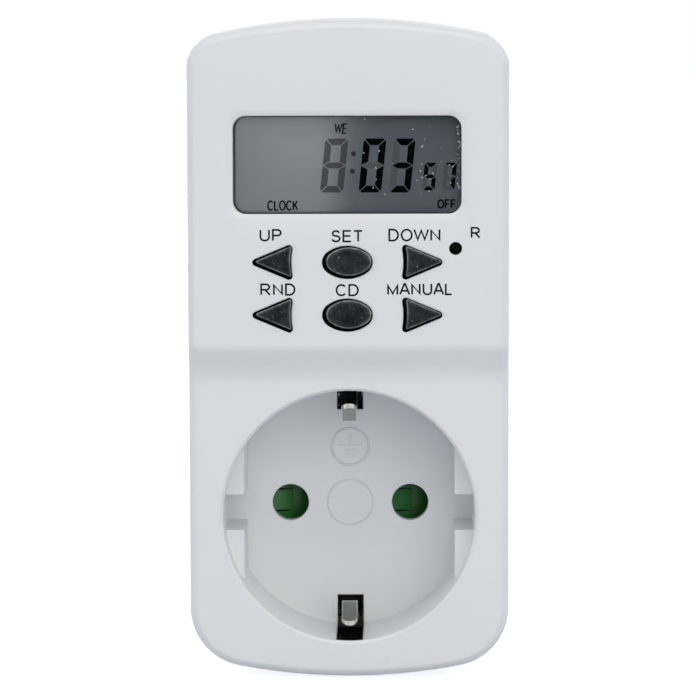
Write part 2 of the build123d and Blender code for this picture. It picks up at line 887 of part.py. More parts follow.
with BuildPart() as varistor:
    varistor_x, varistor_z = varistor_place
    with BuildSketch(Plane.YZ.offset(varistor_x - varistor_thickness / 2)):
        with Locations((-(power_front + varistor_radius), varistor_z)):
            Circle(varistor_radius)
    extrude(amount=varistor_thickness)

save(varistor.part, "varistor")

# Plug pins: turned brass, with a thinner stub through the nose that is welded to its strap
for side, pin_name in ((1, "live_pin"), (-1, "neutral_pin")):
    with BuildPart() as plug_pin:
        with BuildSketch(Plane.XY):
            with BuildLine():
                Polyline(
                    (0, pin_length),
                    (pin_tip_radius, pin_length),
                    (pin_radius, pin_length - pin_tip_length),
                    (pin_radius, 0),
                    (pin_stub_radius, 0),
                    (pin_stub_radius, -nose_wall),
                    (0, -nose_wall),
                    (0, pin_length),
                )
            make_face()
        revolve(axis=Axis.Y)
    save(Pos(side * pin_x, 0, 0) * plug_pin.part, pin_name)


def bent_strip(points, thickness, radius, strip_width, x=0.0):
    """Metal strip bent in side view: points are heights and Z, the bends have the given inner radius."""
    with BuildPart() as strip:
        with BuildSketch(Plane.YZ.offset(x - strip_width / 2)):
            with BuildLine() as centre:
                if len(points) > 2:
                    FilletPolyline(*[(-h, z) for h, z in points], radius=radius + thickness / 2)
                else:
                    Line(*[(-h, z) for h, z in points])
            trace(centre.line, line_width=thickness)
        extrude(amount=strip_width)
    return strip.part


# Straps from the two plug pins to the power board
strap_foot = nose_wall + strap_thickness / 2
strap_run = power_front + strap_thickness / 2
for side, strap_name in ((1, "live_strap"), (-1, "neutral_strap")):
    strap = bent_strip(
        [
            (strap_foot, -strap_foot_reach),
            (strap_foot, strap_riser),
            (strap_run, strap_riser),
            (strap_run, strap_end),
        ],
        strap_thickness,
        strap_bend,
        strap_width,
        side * pin_x,
    )
    save(strap, strap_name)


def tulip(x, base):
    """Sprung socket contact: a tube on a thick base, slit crosswise at its mouth."""
    with BuildPart() as contact:
        with BuildSketch(front_plane(base)):
            with Locations((x, 0)):
                Circle(contact_radius)
        extrude(amount=contact_top - base)
        with BuildSketch(front_plane(base + contact_base)):
            with Locations((x, 0)):
                Circle(contact_bore)
        extrude(amount=contact_top - base, mode=Mode.SUBTRACT)
        with BuildSketch(front_plane(contact_top - contact_slit_length)):
            with Locations((x, 0)):
                Rectangle(3 * contact_radius, contact_slit)
                Rectangle(contact_slit, 3 * contact_radius)
        extrude(amount=contact_slit_length + past, mode=Mode.SUBTRACT)
    return contact.part


save(tulip(pin_x, live_contact_base), "live_contact")
save(tulip(-pin_x, nose_wall + strap_thickness), "neutral_contact")

with BuildPart() as switched_strap:
    with BuildSketch(front_plane(power_front)):
        with Locations((switched_x + strap_thickness / 2, (strap_end - contact_radius / 2) / 2)):
            Rectangle(strap_thickness, strap_end + contact_radius / 2)
    extrude(amount=earth_bar_back - power_front)

save(switched_strap.part, "switched_strap")

# Earth parts: the bar between the contacts, its welded plug contacts and the two sprung clips
bar_end = clip_root_reach + clip_thickness / 2 + earth_gap / 2 + earth_thickness
with BuildPart() as earth_bar:
    with BuildSketch(Plane.YZ.offset(-clip_width / 2)):
        with BuildLine() as bar_line:
            FilletPolyline(
                (-clip_tab_top, -bar_end + earth_thickness / 2),
                (-earth_bar_middle, -bar_end + earth_thickness / 2),
                (-earth_bar_middle, bar_end - earth_thickness / 2),
                (-clip_tab_top, bar_end - earth_thickness / 2),
                radius=earth_thickness,
            )
        trace(bar_line.line, line_width=earth_thickness)
    extrude(amount=clip_width)

save(earth_bar.part, "earth_bar")

for side, contact_name in ((1, "upper_plug_contact"), (-1, "lower_plug_contact")):
    plug_contact = bent_strip(
        [
            (plug_contact_start, side * (earth_reach - earth_thickness / 2)),
            (earth_bar_back - earth_thickness / 2, side * (earth_reach - earth_thickness / 2)),
            (earth_bar_back - earth_thickness / 2, side * plug_contact_foot),
        ],
        earth_thickness,
        earth_thickness,
        earth_width,
    )
    save(plug_contact, contact_name)

for side, clip_name in ((1, "upper_earth_clip"), (-1, "lower_earth_clip")):
    strip = bent_strip(
        [
            (clip_root, side * clip_root_reach),
            (clip_knee, side * clip_root_reach),
            (clip_bend, side * (clip_bend_reach + clip_thickness / 2)),
            (face - clip_tip_drop, side * clip_tip_reach),
        ],
        clip_thickness,
        clip_bend_radius,
        clip_width,
    )
    with BuildPart() as earth_clip:
        add(strip)
        # the tongue is narrower than the root, with a rounded end
        with BuildSketch(Plane.XY) as tongue:
            with BuildLine():
                Polyline(
                    (-clip_width / 2, -clip_root),
                    (-clip_width / 2, -clip_shoulder),
                    (-clip_tongue_width / 2, -clip_neck),
                    (-clip_tongue_width / 2, clip_tip_radius - face + clip_tip_drop),
                )
                RadiusArc(
                    (-clip_tongue_width / 2, clip_tip_radius - face + clip_tip_drop),
                    (clip_tongue_width / 2, clip_tip_radius - face + clip_tip_drop),
                    -clip_tip_radius,
                )
                Polyline(
                    (clip_tongue_width / 2, clip_tip_radius - face + clip_tip_drop),
                    (clip_tongue_width / 2, -clip_neck),
                    (clip_width / 2, -clip_shoulder),
                    (clip_width / 2, -clip_root),
                    (-clip_width / 2, -clip_root),
                )
            make_face()
        extrude(amount=width, both=True, mode=Mode.INTERSECT)
    save(earth_clip.part, clip_name)

# Shutter: a slide with a ramp behind each pin hole and an opening beside each ramp
with BuildPart() as shutter:
    with BuildSketch(front_plane(shutter_back)):
        with Locations(((shutter_right - shutter_left) / 2, 0)):
            Rectangle(shutter_left + shutter_right, 2 * shutter_half_height)
        with Locations((shutter_travel - pin_x, 0), (shutter_travel + pin_x, 0)):
            Rectangle(shutter_hole, shutter_hole, mode=Mode.SUBTRACT)
        with Locations((spring_start - spring_post - stop_gap + spring_window / 2, spring_height)):
            Rectangle(spring_window, 2 * spring_radius + 2 * spring_gap, mode=Mode.SUBTRACT)
    extrude(amount=shutter_thickness)
    for x in (-pin_x, pin_x):
        ramp_end = x + shutter_travel - shutter_hole / 2 + ramp_overlap
        with BuildSketch(Plane.XY.offset(-shutter_hole / 2)):
            with BuildLine():
                Polyline(
                    (x - ramp_start, -shutter_front - past),
                    (x - ramp_start, -shutter_front),
                    (x + tongue_end, ramp_step_top - shutter_front),
                    (x + tongue_end, ramp_step_top + ramp_step - shutter_front),
                    (ramp_end, ramp_drop - shutter_front),
                    (ramp_end, -shutter_front - past),
                    (x - ramp_start, -shutter_front - past),
                )
            make_face()
        extrude(amount=shutter_hole, mode=Mode.SUBTRACT)
        with BuildSketch(front_plane(shutter_back + ramp_floor)):
            with Locations(*[(x + (tongue_end - ramp_start) / 2, side * tongue_half) for side in (-1, 1)]):
                Rectangle(tongue_end + ramp_start, tongue_slot)
        extrude(amount=shutter_thickness, mode=Mode.SUBTRACT)

save(shutter.part, "shutter")

with BuildPart() as shutter_spring:
    with BuildLine() as coil:
        Helix(
            pitch=spring_length / spring_turns,
            height=spring_length,
            radius=spring_radius - spring_wire / 2,
            center=(spring_start + spring_wire, 0, 0),
            direction=(1, 0, 0),
        )
    with BuildSketch(Plane(origin=coil.line @ 0, z_dir=coil.line % 0)):
        Rectangle(spring_wire, spring_wire)
    sweep()

save(Pos(0, -(shutter_front + shutter_back) / 2, spring_height) * shutter_spring.part, "shutter_spring")

# Carrier: plate behind the shutter, with its rails, its end stops and the spring's post
with BuildPart() as contact_carrier:
    carrier_left = shutter_left + shutter_travel + stop_gap + rail_wall
    carrier_right = shutter_right + stop_gap + rail_wall
    carrier_middle = (carrier_right - carrier_left) / 2
    rail_inner = shutter_half_height + shutter_gap
    with BuildSketch(front_plane(carrier_back)):
        with Locations((carrier_middle, 0)):
            Rectangle(carrier_left + carrier_right, 2 * carrier_half_height)
        with Locations((0, carrier_half_height), (0, -carrier_half_height)):
            Rectangle(clip_width + 2 * carrier_notch_gap, 2 * carrier_notch, mode=Mode.SUBTRACT)
        with Locations((-pin_x, 0), (pin_x, 0)):
            Rectangle(2 * pin_hole_radius, 2 * pin_hole_radius, mode=Mode.SUBTRACT)
        with Locations(*carrier_posts):
            Rectangle(peg_size + 2 * peg_gap, peg_size + 2 * peg_gap, mode=Mode.SUBTRACT)
    extrude(amount=carrier_thickness)
    with BuildSketch(front_plane(carrier_front)):
        with Locations((carrier_middle, 0)):
            Rectangle(carrier_left + carrier_right, 2 * (rail_inner + rail_wall))
            Rectangle(carrier_left + carrier_right - 2 * rail_wall, 2 * rail_inner, mode=Mode.SUBTRACT)
    extrude(amount=floor_back - rail_gap - carrier_front)
    with BuildSketch(front_plane(carrier_front)):
        with Locations((spring_start - spring_post / 2, spring_height)):
            Rectangle(spring_post, 2 * spring_radius)
    extrude(amount=shutter_front - carrier_front)

save(contact_carrier.part, "contact_carrier")
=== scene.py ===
# %% [markdown]
# # A digital plug-in timer, finished in Blender
#
# The imported CAD model gives every piece its size and place. This script adds what a product
# photographer would see: moulded white plastic, rubber keys, a liquid crystal display behind a
# dusty clear window, printed words, a green shutter and plated metal.
#
# The first step loads the frame.

# %% Load the frame
import json
from math import copysign, cos, pi, radians, sin, tan
from random import Random

import bmesh
import bpy
from mathutils import Matrix, Vector


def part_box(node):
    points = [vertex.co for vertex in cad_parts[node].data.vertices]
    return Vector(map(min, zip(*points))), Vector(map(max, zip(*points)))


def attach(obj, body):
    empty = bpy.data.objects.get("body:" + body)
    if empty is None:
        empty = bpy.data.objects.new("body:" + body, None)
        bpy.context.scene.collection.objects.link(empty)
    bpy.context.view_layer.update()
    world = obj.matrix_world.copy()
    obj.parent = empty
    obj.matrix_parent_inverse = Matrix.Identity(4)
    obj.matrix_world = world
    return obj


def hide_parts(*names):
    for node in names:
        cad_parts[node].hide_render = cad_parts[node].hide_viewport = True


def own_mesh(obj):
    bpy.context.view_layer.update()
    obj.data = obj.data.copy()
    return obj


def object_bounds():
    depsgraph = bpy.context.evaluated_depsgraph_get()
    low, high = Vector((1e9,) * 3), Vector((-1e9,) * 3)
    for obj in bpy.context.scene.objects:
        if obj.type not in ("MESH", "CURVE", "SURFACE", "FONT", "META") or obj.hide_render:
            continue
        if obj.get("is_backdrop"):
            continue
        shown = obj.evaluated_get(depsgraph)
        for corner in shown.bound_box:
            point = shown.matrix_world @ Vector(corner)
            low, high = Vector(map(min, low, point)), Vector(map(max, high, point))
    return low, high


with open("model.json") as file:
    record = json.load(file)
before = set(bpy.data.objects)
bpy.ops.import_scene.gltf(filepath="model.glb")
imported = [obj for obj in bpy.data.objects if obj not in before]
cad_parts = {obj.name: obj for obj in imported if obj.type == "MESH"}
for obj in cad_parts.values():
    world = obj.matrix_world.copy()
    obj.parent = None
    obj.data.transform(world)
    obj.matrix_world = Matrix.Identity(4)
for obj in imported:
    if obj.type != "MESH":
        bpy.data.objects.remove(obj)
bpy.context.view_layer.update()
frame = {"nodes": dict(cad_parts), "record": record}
nodes = frame["nodes"]
MM = 0.001

# %% [markdown]
# ## Small steps that repeat
#
# Every object and nearly every shader node is made in the same few steps, so each step is written once.
# A node's input takes a value or another node's output.


# %% Helpers for objects
def add_object(name, data):
    """Object with some data, in the scene."""
    item = bpy.data.objects.new(name, data)
    bpy.context.scene.collection.objects.link(item)
    return item


def mesh_from(name, form):
    """Mesh data from a bmesh, which is freed."""
    data = bpy.data.meshes.new(name)
    form.to_mesh(data)
    form.free()
    return data


# %% Helpers for nodes
def put(tree, socket, value):
    """Link an output to an input, or set the input to a value."""
    if isinstance(value, bpy.types.NodeSocket):
        tree.links.new(value, socket)
    else:
        socket.default_value = value


def set_inputs(node, values):
    """Set inputs of a node by their names."""
    for label, value in values.items():
        node.inputs[label].default_value = value


def new_material(name, values):
    """Material, its node tree and its Principled shader, some of whose inputs get values."""
    material = bpy.data.materials.new(name)
    material.use_nodes = True
    shader = material.node_tree.nodes["Principled BSDF"]
    set_inputs(shader, values)
    return material, material.node_tree, shader


def math_node(tree, operation, *values):
    """Result of one sum."""
    node = tree.nodes.new("ShaderNodeMath")
    node.operation = operation
    for socket, value in zip(node.inputs, values):
        put(tree, socket, value)
    return node.outputs[0]


def map_range(tree, value, start=(0.0, 1.0), end=(0.0, 1.0), smooth=False):
    """Value taken from one range to another, with soft ends if asked."""
    node = tree.nodes.new("ShaderNodeMapRange")
    if smooth:
        node.interpolation_type = "SMOOTHSTEP"
    labels = ("Value", "From Min", "From Max", "To Min", "To Max")
    for label, item in zip(labels, (value, *start, *end)):
        put(tree, node.inputs[label], item)
    return node.outputs["Result"]


def mix_colour(tree, share, first, second):
    """First colour where share is 0 and second colour where it is 1."""
    node = tree.nodes.new("ShaderNodeMix")
    node.data_type = "RGBA"
    for label, value in (("Factor", share), ("A", first), ("B", second)):
        put(tree, node.inputs[label], value)
    return node.outputs["Result"]


def object_place(tree, label=None, value=None):
    """Object coordinates, with a Scale or Rotation if asked."""
    place = tree.nodes.new("ShaderNodeTexCoord").outputs["Object"]
    if label is None:
        return place
    mapping = tree.nodes.new("ShaderNodeMapping")
    mapping.inputs[label].default_value = value
    tree.links.new(place, mapping.inputs["Vector"])
    return mapping.outputs["Vector"]


def axes(tree, place):
    """Outputs X, Y and Z of a place."""
    split = tree.nodes.new("ShaderNodeSeparateXYZ")
    tree.links.new(place, split.inputs["Vector"])
    return split.outputs


# %% [markdown]
# ## Planes of the housing
#
# Every added piece lies on a face that the CAD model already has, so those faces are read from the
# boxes of the nodes and not typed in again. The front looks along -Y, so the front of a piece is the
# low end of its box.

# %% Faces that carry the added pieces
panel_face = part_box("front_cover")[0].y
glass_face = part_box("lcd_glass")[0].y
window_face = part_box("lcd_window")[0].y
nose_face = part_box("rear_cover")[1].y
housing_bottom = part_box("front_cover")[0].z
panel_rise = 2.15 * MM
well_depth = 17.5 * MM
lower_face = panel_face + panel_rise
well_floor = lower_face + well_depth
print("panel face at", round(panel_face / MM, 2), "mm, well floor at", round(well_floor / MM, 2), "mm")

# %% [markdown]
# ## Camera
#
# The photograph was taken with a long lens, from a little above the timer and a touch to its right. The
# camera's three axes are written out from three small angles, so that its roll is kept.

# %% Camera at the photograph's angle
frame_pixels = 696
focal_pixels = 3712.9
sensor = 36.0
aim = Vector((-0.10, -50.5, 26.16)) * MM
distance = 571.5 * MM
pitch, yaw, roll = radians(5.04), radians(0.71), radians(0.16)

forward = Vector((-sin(yaw) * cos(pitch), cos(yaw) * cos(pitch), -sin(pitch)))
level = Vector((cos(yaw), sin(yaw), 0))
upright = Vector((-sin(yaw) * sin(pitch), cos(yaw) * sin(pitch), cos(pitch)))
right = level * cos(roll) - upright * sin(roll)
up = level * sin(roll) + upright * cos(roll)

camera = add_object("camera", bpy.data.cameras.new("camera"))
camera.data.lens = focal_pixels / frame_pixels * sensor
camera.data.sensor_width = sensor
camera.data.clip_start = 10 * MM
camera.data.clip_end = 20.0
eye = aim - forward * distance
camera.matrix_world = Matrix.Translation(eye) @ Matrix((right, up, -forward)).transposed().to_4x4()
bpy.context.scene.camera = camera
print("camera at", [round(v / MM, 1) for v in eye], "lens", round(camera.data.lens, 1), "mm")

# %% [markdown]
# ## Light
#
# A white product on white needs light that models it without burning out. A large soft panel stands
# high behind the camera and to its right, so that light reaches the floor of the socket well. Two more
# keep the sides bright, one lights the arched top and two the back. The surround is plain white to the
# camera and in reflections. As a light it is dimmer and cooler than the lamps, so shadows look bluish.

# %% World
def light_path_mix(tree, seen, lighting):
    """Strength that is one value for camera, mirror and glass rays and another as a light."""
    path = tree.nodes.new("ShaderNodeLightPath").outputs
    straight_on = math_node(tree, "MAXIMUM", path["Is Camera Ray"], path["Is Transmission Ray"])
    eye_ray = math_node(tree, "MAXIMUM", straight_on, path["Is Glossy Ray"])
    return map_range(tree, eye_ray, end=(lighting, seen))


white = (1, 1, 1, 1)
cool_light = (0.70, 0.765, 1.0, 1)
surround_lighting = 0.46
world = bpy.data.worlds.new("studio")
bpy.context.scene.world = world
world.use_nodes = True
sky = world.node_tree
surround = sky.nodes["Background"]
surround_tint = mix_colour(sky, light_path_mix(sky, 1.0, 0.0), cool_light, white)
sky.links.new(surround_tint, surround.inputs["Color"])
sky.links.new(light_path_mix(sky, 1.0, surround_lighting), surround.inputs["Strength"])
bpy.context.scene.view_settings.view_transform = "Standard"


# %% Soft panels
panel_target = Vector((0, -0.05, 0.025))
warm_light = (1.0, 0.94, 0.78)


def soft_panel(name, place, size, power):
    """Square warm lamp at a place, facing the timer."""
    lamp = bpy.data.lights.new(name, "AREA")
    lamp.size = size
    lamp.energy = power
    lamp.color = warm_light
    panel = add_object(name, lamp)
    panel.location = place
    panel.rotation_mode = "QUATERNION"
    panel.rotation_quaternion = (panel_target - Vector(place)).to_track_quat("-Z", "Y")


for name, place, size, power in (
    ("front", (0.30, -1.22, 0.37), 1.1, 6.2),
    ("left", (-1.00, -0.45, 0.25), 0.6, 2.6),
    ("right", (1.00, -0.45, 0.25), 0.6, 1.5),
    ("top", (0.05, -0.45, 0.90), 0.5, 2.0),
    ("back_left", (-0.60, 0.85, 0.45), 0.6, 3.0),
    ("back_right", (0.60, 0.85, 0.45), 0.6, 3.4),
):
    soft_panel(name + "_panel", place, size, power)

# %% Floor
floor_half = 6.0
floor_gap = 0.02 * MM
floor_glow = 0.82
floor_form = bmesh.new()
bmesh.ops.create_grid(floor_form, x_segments=1, y_segments=1, size=floor_half)
bmesh.ops.translate(floor_form, vec=(0, 0, housing_bottom - floor_gap), verts=floor_form.verts)
floor = add_object("floor", mesh_from("floor", floor_form))
floor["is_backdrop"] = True

floor_material, tree, shader = new_material(
    "pale_floor", {"Base Color": (0.50, 0.52, 0.60, 1), "Roughness": 0.9, "Emission Color": white}
)
tree.links.new(light_path_mix(tree, floor_glow, 0.0), shader.inputs["Emission Strength"])
floor.data.materials.append(floor_material)

# %% [markdown]
# ## Effects that several finishes share
#
# Moulded plastic is never one flat colour: its tone drifts slowly, its surface has a fine grain, and a
# used object gathers specks. Each effect is a small node group with its own inputs, built once. A group
# only gives out colours, masks and heights, and the shader stays in the material.


# %% Helper for node groups
def start_group(name, inputs, result, result_kind="NodeSocketFloat"):
    """Empty shader group with inputs and a result, and its input and output nodes."""
    group = bpy.data.node_groups.new(name, "ShaderNodeTree")
    for label, value in inputs.items():
        kind = "NodeSocketColor" if isinstance(value, tuple) else "NodeSocketFloat"
        socket = group.interface.new_socket(label, in_out="INPUT", socket_type=kind)
        socket.default_value = value
    group.interface.new_socket(result, in_out="OUTPUT", socket_type=result_kind)
    return group, group.nodes.new("NodeGroupInput"), group.nodes.new("NodeGroupOutput")


def noise(tree, scale, detail=2.0, stretch=None):
    """Noise on object coordinates, finer with a larger scale."""
    texture = tree.nodes.new("ShaderNodeTexNoise")
    texture.inputs["Detail"].default_value = detail
    place = object_place(tree, "Scale", stretch) if stretch else object_place(tree)
    tree.links.new(place, texture.inputs["Vector"])
    put(tree, texture.inputs["Scale"], scale)
    return texture.outputs["Fac"]


# %% Slow drift of tone
tone_group, tone_in, tone_out = start_group(
    "tone_drift", {"Colour": white, "Amount": 0.05, "Scale": 60.0}, "Colour", "NodeSocketColor"
)
drift = noise(tone_group, tone_in.outputs["Scale"], 3.0)
centred = math_node(tone_group, "SUBTRACT", drift, 0.5)
brightness = math_node(tone_group, "MULTIPLY_ADD", centred, tone_in.outputs["Amount"], 1.0)
tinted = tone_group.nodes.new("ShaderNodeHueSaturation")
tone_group.links.new(tone_in.outputs["Colour"], tinted.inputs["Color"])
tone_group.links.new(brightness, tinted.inputs["Value"])
tone_group.links.new(tinted.outputs["Color"], tone_out.inputs["Colour"])

# %% Fine grain of a mould
grain_group, grain_in, grain_out = start_group("mould_grain", {"Scale": 4000.0, "Waviness": 0.3}, "Height")
fine = noise(grain_group, grain_in.outputs["Scale"], 2.0)
broad = noise(grain_group, 90.0, 1.0)
grain_height = math_node(grain_group, "MULTIPLY_ADD", broad, grain_in.outputs["Waviness"], fine)
grain_group.links.new(grain_height, grain_out.inputs["Height"])

# %% Specks of dust
speck_group, speck_in, speck_out = start_group("dust_specks", {"Scale": 900.0, "Cover": 0.3}, "Mask")
speck_noise = noise(speck_group, speck_in.outputs["Scale"], 1.0)
speck_limit = math_node(speck_group, "SUBTRACT", 1.0, speck_in.outputs["Cover"])
speck_mask = map_range(speck_group, speck_noise, start=(speck_limit, 1.0), smooth=True)
speck_group.links.new(speck_mask, speck_out.inputs["Mask"])

# %% Fine lines of drawing or rubbing
line_group, line_in, line_out = start_group("fine_lines", {"Scale": 2500.0}, "Height")
along_y = (1, 0.04, 1)
line_height = noise(line_group, line_in.outputs["Scale"], 2.0, along_y)
line_group.links.new(line_height, line_out.inputs["Height"])
print("groups:", [g.name for g in bpy.data.node_groups])

# %% [markdown]
# ## One recipe for the plain finishes
#
# Most parts of a timer are moulded, lacquered or plated in one colour. One function puts the shared
# groups round a Principled shader and hands back the material, so that a cell can add to it.


# %% Recipe
def add_group(tree, group, **values):
    """Place a shared group in a material with its own values."""
    node = tree.nodes.new("ShaderNodeGroup")
    node.node_tree = group
    set_inputs(node, values)
    return node


finishes = {}
speck_colour = (0.62, 0.61, 0.58, 1)
gloss_spread = 0.06


def finish(name, colour, roughness, metallic=0.0, drift=0.05, drift_scale=60.0, grain=4000.0,
           relief=0.004, specks=0.0, specks_scale=900.0, lines=0.0, soft_edge=0.0, shine=0.5):
    """Material with drifting tone, uneven gloss, relief and soft edges in mm, kept under its name."""
    material, tree, shader = new_material(name, {"Metallic": metallic, "Specular IOR Level": shine})
    tone = add_group(tree, tone_group, Colour=(*colour, 1), Amount=drift, Scale=drift_scale)
    base = tone.outputs["Colour"]
    if specks:
        mask = add_group(tree, speck_group, Scale=specks_scale, Cover=specks).outputs["Mask"]
        base = mix_colour(tree, mask, base, speck_colour)
    tree.links.new(base, shader.inputs["Base Color"])
    gloss_range = (max(0.02, roughness - gloss_spread), min(1.0, roughness + gloss_spread))
    gloss = map_range(tree, noise(tree, drift_scale * 3), end=gloss_range)
    tree.links.new(gloss, shader.inputs["Roughness"])
    bump = tree.nodes.new("ShaderNodeBump")
    bump.inputs["Distance"].default_value = relief * MM
    group, scale = (line_group, lines) if lines else (grain_group, grain)
    tree.links.new(add_group(tree, group, Scale=scale).outputs["Height"], bump.inputs["Height"])
    if soft_edge:
        rounded = tree.nodes.new("ShaderNodeBevel")
        rounded.samples = 6
        rounded.inputs["Radius"].default_value = soft_edge * MM
        tree.links.new(rounded.outputs["Normal"], bump.inputs["Normal"])
    tree.links.new(bump.outputs["Normal"], shader.inputs["Normal"])
    finishes[name] = material
    return material


# %% Helper that lays another colour over a finish
def overlay(material, mask, colour):
    """Mix a colour over a finish's own colour where a mask is 1."""
    tree = material.node_tree
    base = tree.nodes["Principled BSDF"].inputs["Base Color"]
    mixed = mix_colour(tree, mask, base.links[0].from_socket, (*colour, 1))
    tree.links.new(mixed, base)


def place_mask(material, axis, start, end):
    """Mask that rises from 0 to 1 between two places along an axis, in metres."""
    tree = material.node_tree
    return map_range(tree, axes(tree, object_place(tree))[axis], start=(start, end), smooth=True)


# %% [markdown]
# ## Finishes by material slot
#
# The record names a slot for each node, and each line below gives a slot its colour, gloss and grain.
# The whites are the cool white of moulded ABS, the metals are nickel over brass, and the inner parts
# have the colours that such components usually have.

# %% Finishes
abs_white = (0.790, 0.808, 0.826)
finish("white_plastic", abs_white, 0.38, drift=0.02, drift_scale=25,
       grain=6000, relief=0.0015, specks=0.2, specks_scale=700, soft_edge=0.3)
finish("inner_plastic", (0.62, 0.62, 0.60), 0.55, drift=0.05)
finish("black_plastic", (0.02, 0.02, 0.022), 0.45, specks=0.25)
# Near black, used as painted shade in the key openings, the clip slots and round the window.
finish("slot_lining", (0.006, 0.006, 0.006), 0.24, shine=0.40)
finish("clip_nickel", (0.42, 0.42, 0.39), 0.30, 1.0, drift=0.40, drift_scale=600, lines=3500, relief=0.002)
finish("dark_steel", (0.03, 0.03, 0.029), 0.5, 1.0, lines=2500, relief=0.002)
finish("zebra_rubber", (0.30, 0.08, 0.09), 0.6)
finish("key_rubber", (0.021, 0.0235, 0.025), 0.75, drift=2.8, drift_scale=500,
       grain=9000, relief=0.010, specks=0.375, specks_scale=2300, shine=0.04)
finish("nickel", (0.60, 0.60, 0.56), 0.30, 1.0, drift=0.12, drift_scale=300, lines=3500, relief=0.002)
finish("pin_nickel", (0.72, 0.71, 0.68), 0.18, 1.0, drift=0.06, drift_scale=250, lines=5000, relief=0.001)
finish("steel", (0.56, 0.57, 0.58), 0.32, 1.0, drift=0.1, lines=3000, relief=0.002)
finish("brass", (0.72, 0.50, 0.20), 0.28, 1.0, drift=0.15, drift_scale=150, lines=2500, relief=0.002)
finish("blue_plastic", (0.05, 0.13, 0.38), 0.38)
finish("yellow_plastic", (0.70, 0.42, 0.04), 0.35)
finish("resistor_lacquer", (0.55, 0.40, 0.22), 0.35, drift=0.2)
finish("fuse_glass", (0.66, 0.68, 0.66), 0.12)
finish("capacitor_sleeve", (0.03, 0.03, 0.05), 0.3)
finish("green_plastic", (0.020, 0.145, 0.030), 0.34, drift=0.12, drift_scale=200, grain=5000, relief=0.003)
print("finishes:", len(finishes))

# %% [markdown]
# A key is a cap of dark rubber. Its rim is paler, partly worn by fingers and partly a painted highlight,
# which the finish reads from a mark that fades from the rim to the middle. Below the panel no light
# reaches it, so its sides are painted black as shade.

# %% Paler rim of the keys, part wear and part painted highlight, and painted shade on their sides
rubber = finishes["key_rubber"]
# Painted shade: below the panel's face the cap's sides are painted near black.
sides = place_mask(rubber, "Y", panel_face - 0.25 * MM, panel_face + 0.1 * MM)
overlay(rubber, sides, (0.0015, 0.0015, 0.002))
tree = rubber.node_tree
# Paler rim: partly wear, partly a painted highlight, read from the mark on the key's points.
wear_and_highlight = tree.nodes.new("ShaderNodeAttribute")
wear_and_highlight.attribute_name = "wear_and_highlight"
patchy = math_node(tree, "MULTIPLY", wear_and_highlight.outputs["Fac"], noise(tree, 900.0, 1.0))
overlay(rubber, patchy, (0.60, 0.61, 0.62))

# %% [markdown]
# An earth clip gets painted highlights along its two edges. Down in its slot it is painted dark, as
# shade.

# %% Painted shade on the foot and painted highlights on the edges of the clips
def clip_edge_highlight_mask(tree):
    """Mask for the painted highlights along both edges of a clip, which widens below its neck."""
    neck_place, neck_half, widening = -34.2 * MM, 1.2 * MM, 0.15
    place = axes(tree, object_place(tree))
    widened = math_node(tree, "MULTIPLY", place["Y"], widening)
    below_neck = math_node(tree, "ADD", widened, neck_half - widening * neck_place)
    half = math_node(tree, "MAXIMUM", below_neck, neck_half)
    past_edge = math_node(tree, "SUBTRACT", math_node(tree, "ABSOLUTE", place["X"]), half)
    return map_range(tree, past_edge, start=(-0.20 * MM, -0.05 * MM), smooth=True)


clip_metal = finishes["clip_nickel"]
# Painted shade: the clip is near black down in its slot.
overlay(clip_metal, place_mask(clip_metal, "Y", -33.2 * MM, -31.6 * MM), (0.012, 0.012, 0.011))
# Painted highlight along both edges of the clip.
overlay(clip_metal, clip_edge_highlight_mask(clip_metal.node_tree), (0.93, 0.93, 0.89))

# %% [markdown]
# The ramps of the shutter are painted darker at their deep ends, as shade.

# %% Painted shade at the deep ends of the shutter's ramps
green = finishes["green_plastic"]
# Painted shade: darker towards the deep ends of the ramps.
overlay(green, place_mask(green, "Y", -28.95 * MM, -28.45 * MM), (0.009, 0.095, 0.011))

# %% [markdown]
# Circuit boards show their copper tracks through the green lacquer, here a brick texture whose joints
# are the gaps between the tracks.

# %% Board with tracks
board = finish("board", (0.03, 0.17, 0.05), 0.3, drift=0.1)
tree = board.node_tree
tracks = tree.nodes.new("ShaderNodeTexBrick")
set_inputs(tracks, {"Scale": 260.0, "Color1": (0.02, 0.12, 0.04, 1), "Color2": (0.05, 0.24, 0.07, 1),
                    "Mortar": (0.06, 0.28, 0.09, 1)})
facing_front = (radians(90), 0, 0)
tree.links.new(object_place(tree, "Rotation", facing_front), tracks.inputs["Vector"])
tree.links.new(tracks.outputs["Color"], tree.nodes["Principled BSDF"].inputs["Base Color"])

# %% [markdown]
# ## Display materials
#
# The display is a grey glass with a polariser on it. Its left part is painted lighter, a painted
# reflection of something pale that stands opposite it. The rest of that reflection is real: a pale card
# that only mirror and glass rays can see stands where the glass mirrors it.

# %% Liquid crystal glass
lcd = finish("lcd_glass", (0.110, 0.123, 0.147), 0.07, drift=0.10, drift_scale=120, grain=3000,
             relief=0.0004, shine=1.0)
# Painted reflection: the left part of the glass is made lighter.
overlay(lcd, place_mask(lcd, "X", 1.5 * MM, -5.0 * MM), (0.190, 0.202, 0.215))

# %% [markdown]
# The window in front of the glass is thin and clean, so it is nearly all see-through: a trace of haze and
# no bending of light, which keeps the small signs behind it sharp.

# %% Clear window
window = finish("clear_window", (0.02, 0.02, 0.02), 0.0, drift=0.01, relief=0.0002)
set_inputs(window.node_tree.nodes["Principled BSDF"], {"IOR": 1.49, "Alpha": 0.03})
finishes["clear_plastic"] = window

